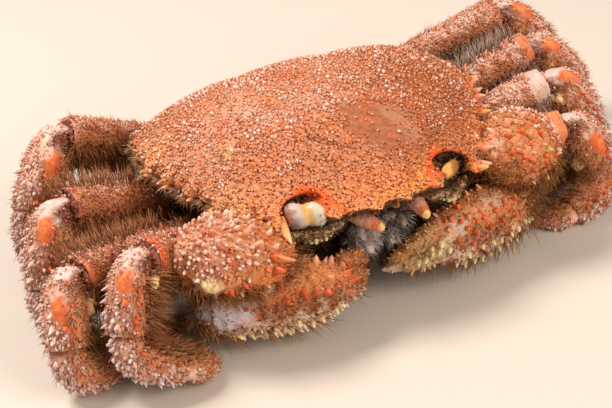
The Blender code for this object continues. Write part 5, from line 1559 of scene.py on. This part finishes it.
def buildFeeler(node, joints, seed):
    kind, word = node.split("_")
    path = layPath(joints, 2, (1, 0, 0))
    shape = tube(path, 0, path["run"][-1], feelerTables[kind], 1.0, 60, 28, (), ((0.15, 0.5),))
    ring = np.exp(-(((shape["share"] * (4 if kind == "antenna" else 7)) % 1.0 - 0.5)**2) / 0.008)
    shape["grid"] = shape["grid"] - gridNormals(shape["grid"]) * (ring * 0.12)[..., None]
    share = shape["share"]
    pigment = layer(wash("#DC7A50" if kind == "antenna" else "#6A4026", shape["grid"]),
                    ("#EBCB84", smooth(0.86, 0.94, share) if kind == "antenna" else share * 0.4),
                    ("#C8A898", (1 - smooth(0.72, 0.82, share)) * (0.85 if kind == "antenna" else 0.0)),
                    ("#A8421C", ring * 0.5))
    surface = makeSurface(shape["grid"], pigment, np.full(share.shape, 0.7))
    addSurface(kind + word.title(), surface, feelerFinish, [node])
    look = {**bristleLook["short"], "spacing": 1.1, "length": 0.8, "width": 0.09}
    addCoat(kind + word.title() + "Bristles", bristles(surface, look, seed, 0.6 * np.ones(share.shape)),
            bristleFinish)


mouth = {
    "joints": ((9.0, -33.0, 8.0), (6.5, -38.5, 12.0), (4.6, -42.0, 27.5)),
    "sections": ((0.0, 2.6, 2.9), (0.35, 3.0, 4.2), (0.8, 2.8, 3.9), (1.0, 1.8, 2.6)),
    # plumes of pale bristles: middle on the front, reach and how pale
    "plumes": ((-12.0, -47.0, 29.0, 3.4, 1.0), (-7.0, -45.0, 27.0, 3.4, 1.0), (-5.0, -44.0, 22.5, 4.2, 1.0),
               (-2.0, -43.5, 25.5, 3.0, 0.9), (3.0, -43.5, 22.0, 3.0, 0.6), (6.0, -44.5, 27.0, 2.8, 0.6)),
    "hair": {"spacing": 0.85, "each": 4, "length": 2.2, "width": 0.12, "lean": 0.4, "curl": 0.5,
             "spread": 0.45, "profile": longHair, "blend": 0.65, "feet": (("#3C2A1E", 2), ("#54402E", 1)),
             "tips": (("#7A6654", 3), ("#5E4632", 2), ("#9A8E84", 1))},
}
mouthPlume = {**mouth["hair"], "spacing": 0.9, "each": 7, "length": 2.6, "spread": 0.35, "blend": 0.2,
              "width": 0.17, "feet": (("#8E7A6A", 2), ("#A08E80", 1)),
              "tips": (("#E4DEDA", 3), ("#C8B8AC", 2), ("#A88468", 2))}


def buildMouth(side, word):
    path = layPath([(side * x, y, z) for x, y, z in mouth["joints"]], 4, (1, 0, 0))
    shape = tube(path, 0, path["run"][-1], mouth["sections"], 0.8, 80, 48)
    shape = roughen(shape, 0.3, 3.5, 80 + side)
    share, grid = shape["share"], shape["grid"]
    # dark brown base: partly the hairy plates' colour, partly painted shade under the front margin
    pigment = wash("#463022", grid)
    pigment = tint(pigment, "#8A7868", 0.25 + 0.5 * mottle(grid, 4.0, 82))
    pale = np.zeros(share.shape)
    for *middle, reach, strength in mouth["plumes"]:
        near = np.exp(-np.sum((grid - np.array(middle))**2, axis=-1) / reach**2)
        pale = np.maximum(pale, strength * near)
    pigment = tint(pigment, "#D6D4D2", pale)
    surface = makeSurface(grid, pigment, np.full(share.shape, 0.6))
    addSurface(f"maxilliped{word.title()}", surface, mouthFinish, [f"maxilliped_{word}"])
    bare = (0.3 + 0.7 * smooth(0.2, 0.6, share)) * (1 - 0.8 * pale)
    coat = bristles(surface, mouth["hair"], 84 + side, bare, flow=(0, -0.6, -0.5))
    coat += bristles(surface, mouthPlume, 86 + side, smooth(0.25, 0.6, pale), flow=(0, -0.8, -0.2))
    # the palps: smooth pale drops among the plumes, each rooted on the nearest part of the mouthpart
    rng = np.random.default_rng(88 + side)
    palps = []
    for *middle, reach, _ in mouth["plumes"]:
        if middle[0] * side > 0:
            far = np.sum((grid - np.array(middle))**2, axis=-1)
            row, column = np.unravel_index(np.argmin(far), share.shape)
            aim = np.array([[0.0, -0.8, -0.6]]) + rng.normal(size=(1, 3)) * 0.25
            roots = {"place": grid[row, column][None], "normal": unit(aim),
                     "along": np.array([[0.0, 0.0, -1.0]]),
                     "uv": np.array([[column / share.shape[1], row / share.shape[0]]])}
            palps.append(grow(roots, 0.95 * reach, 0.42 * reach, ball, 14, 0.0, np.array([[0.0, 0.0, -0.5]]),
                              hexLinear("#6E645C")[None], hexLinear("#C0BCB8")[None]))
    addCoat(f"maxilliped{word.title()}Palps", palps, grainFinish)
    addCoat(f"maxilliped{word.title()}Bristles", coat, bristleFinish)


buildBelly()
buildFlap()
for number, (node, joints) in enumerate(feelerJoints.items()):
    buildFeeler(node, joints, 90 + number)
for side, word in ((-1, "right"), (1, "left")):
    buildEye(side, word)
    buildLedge(side, word)
    buildMouth(side, word)
print("belly, flap, eyes, feelers and mouth built")
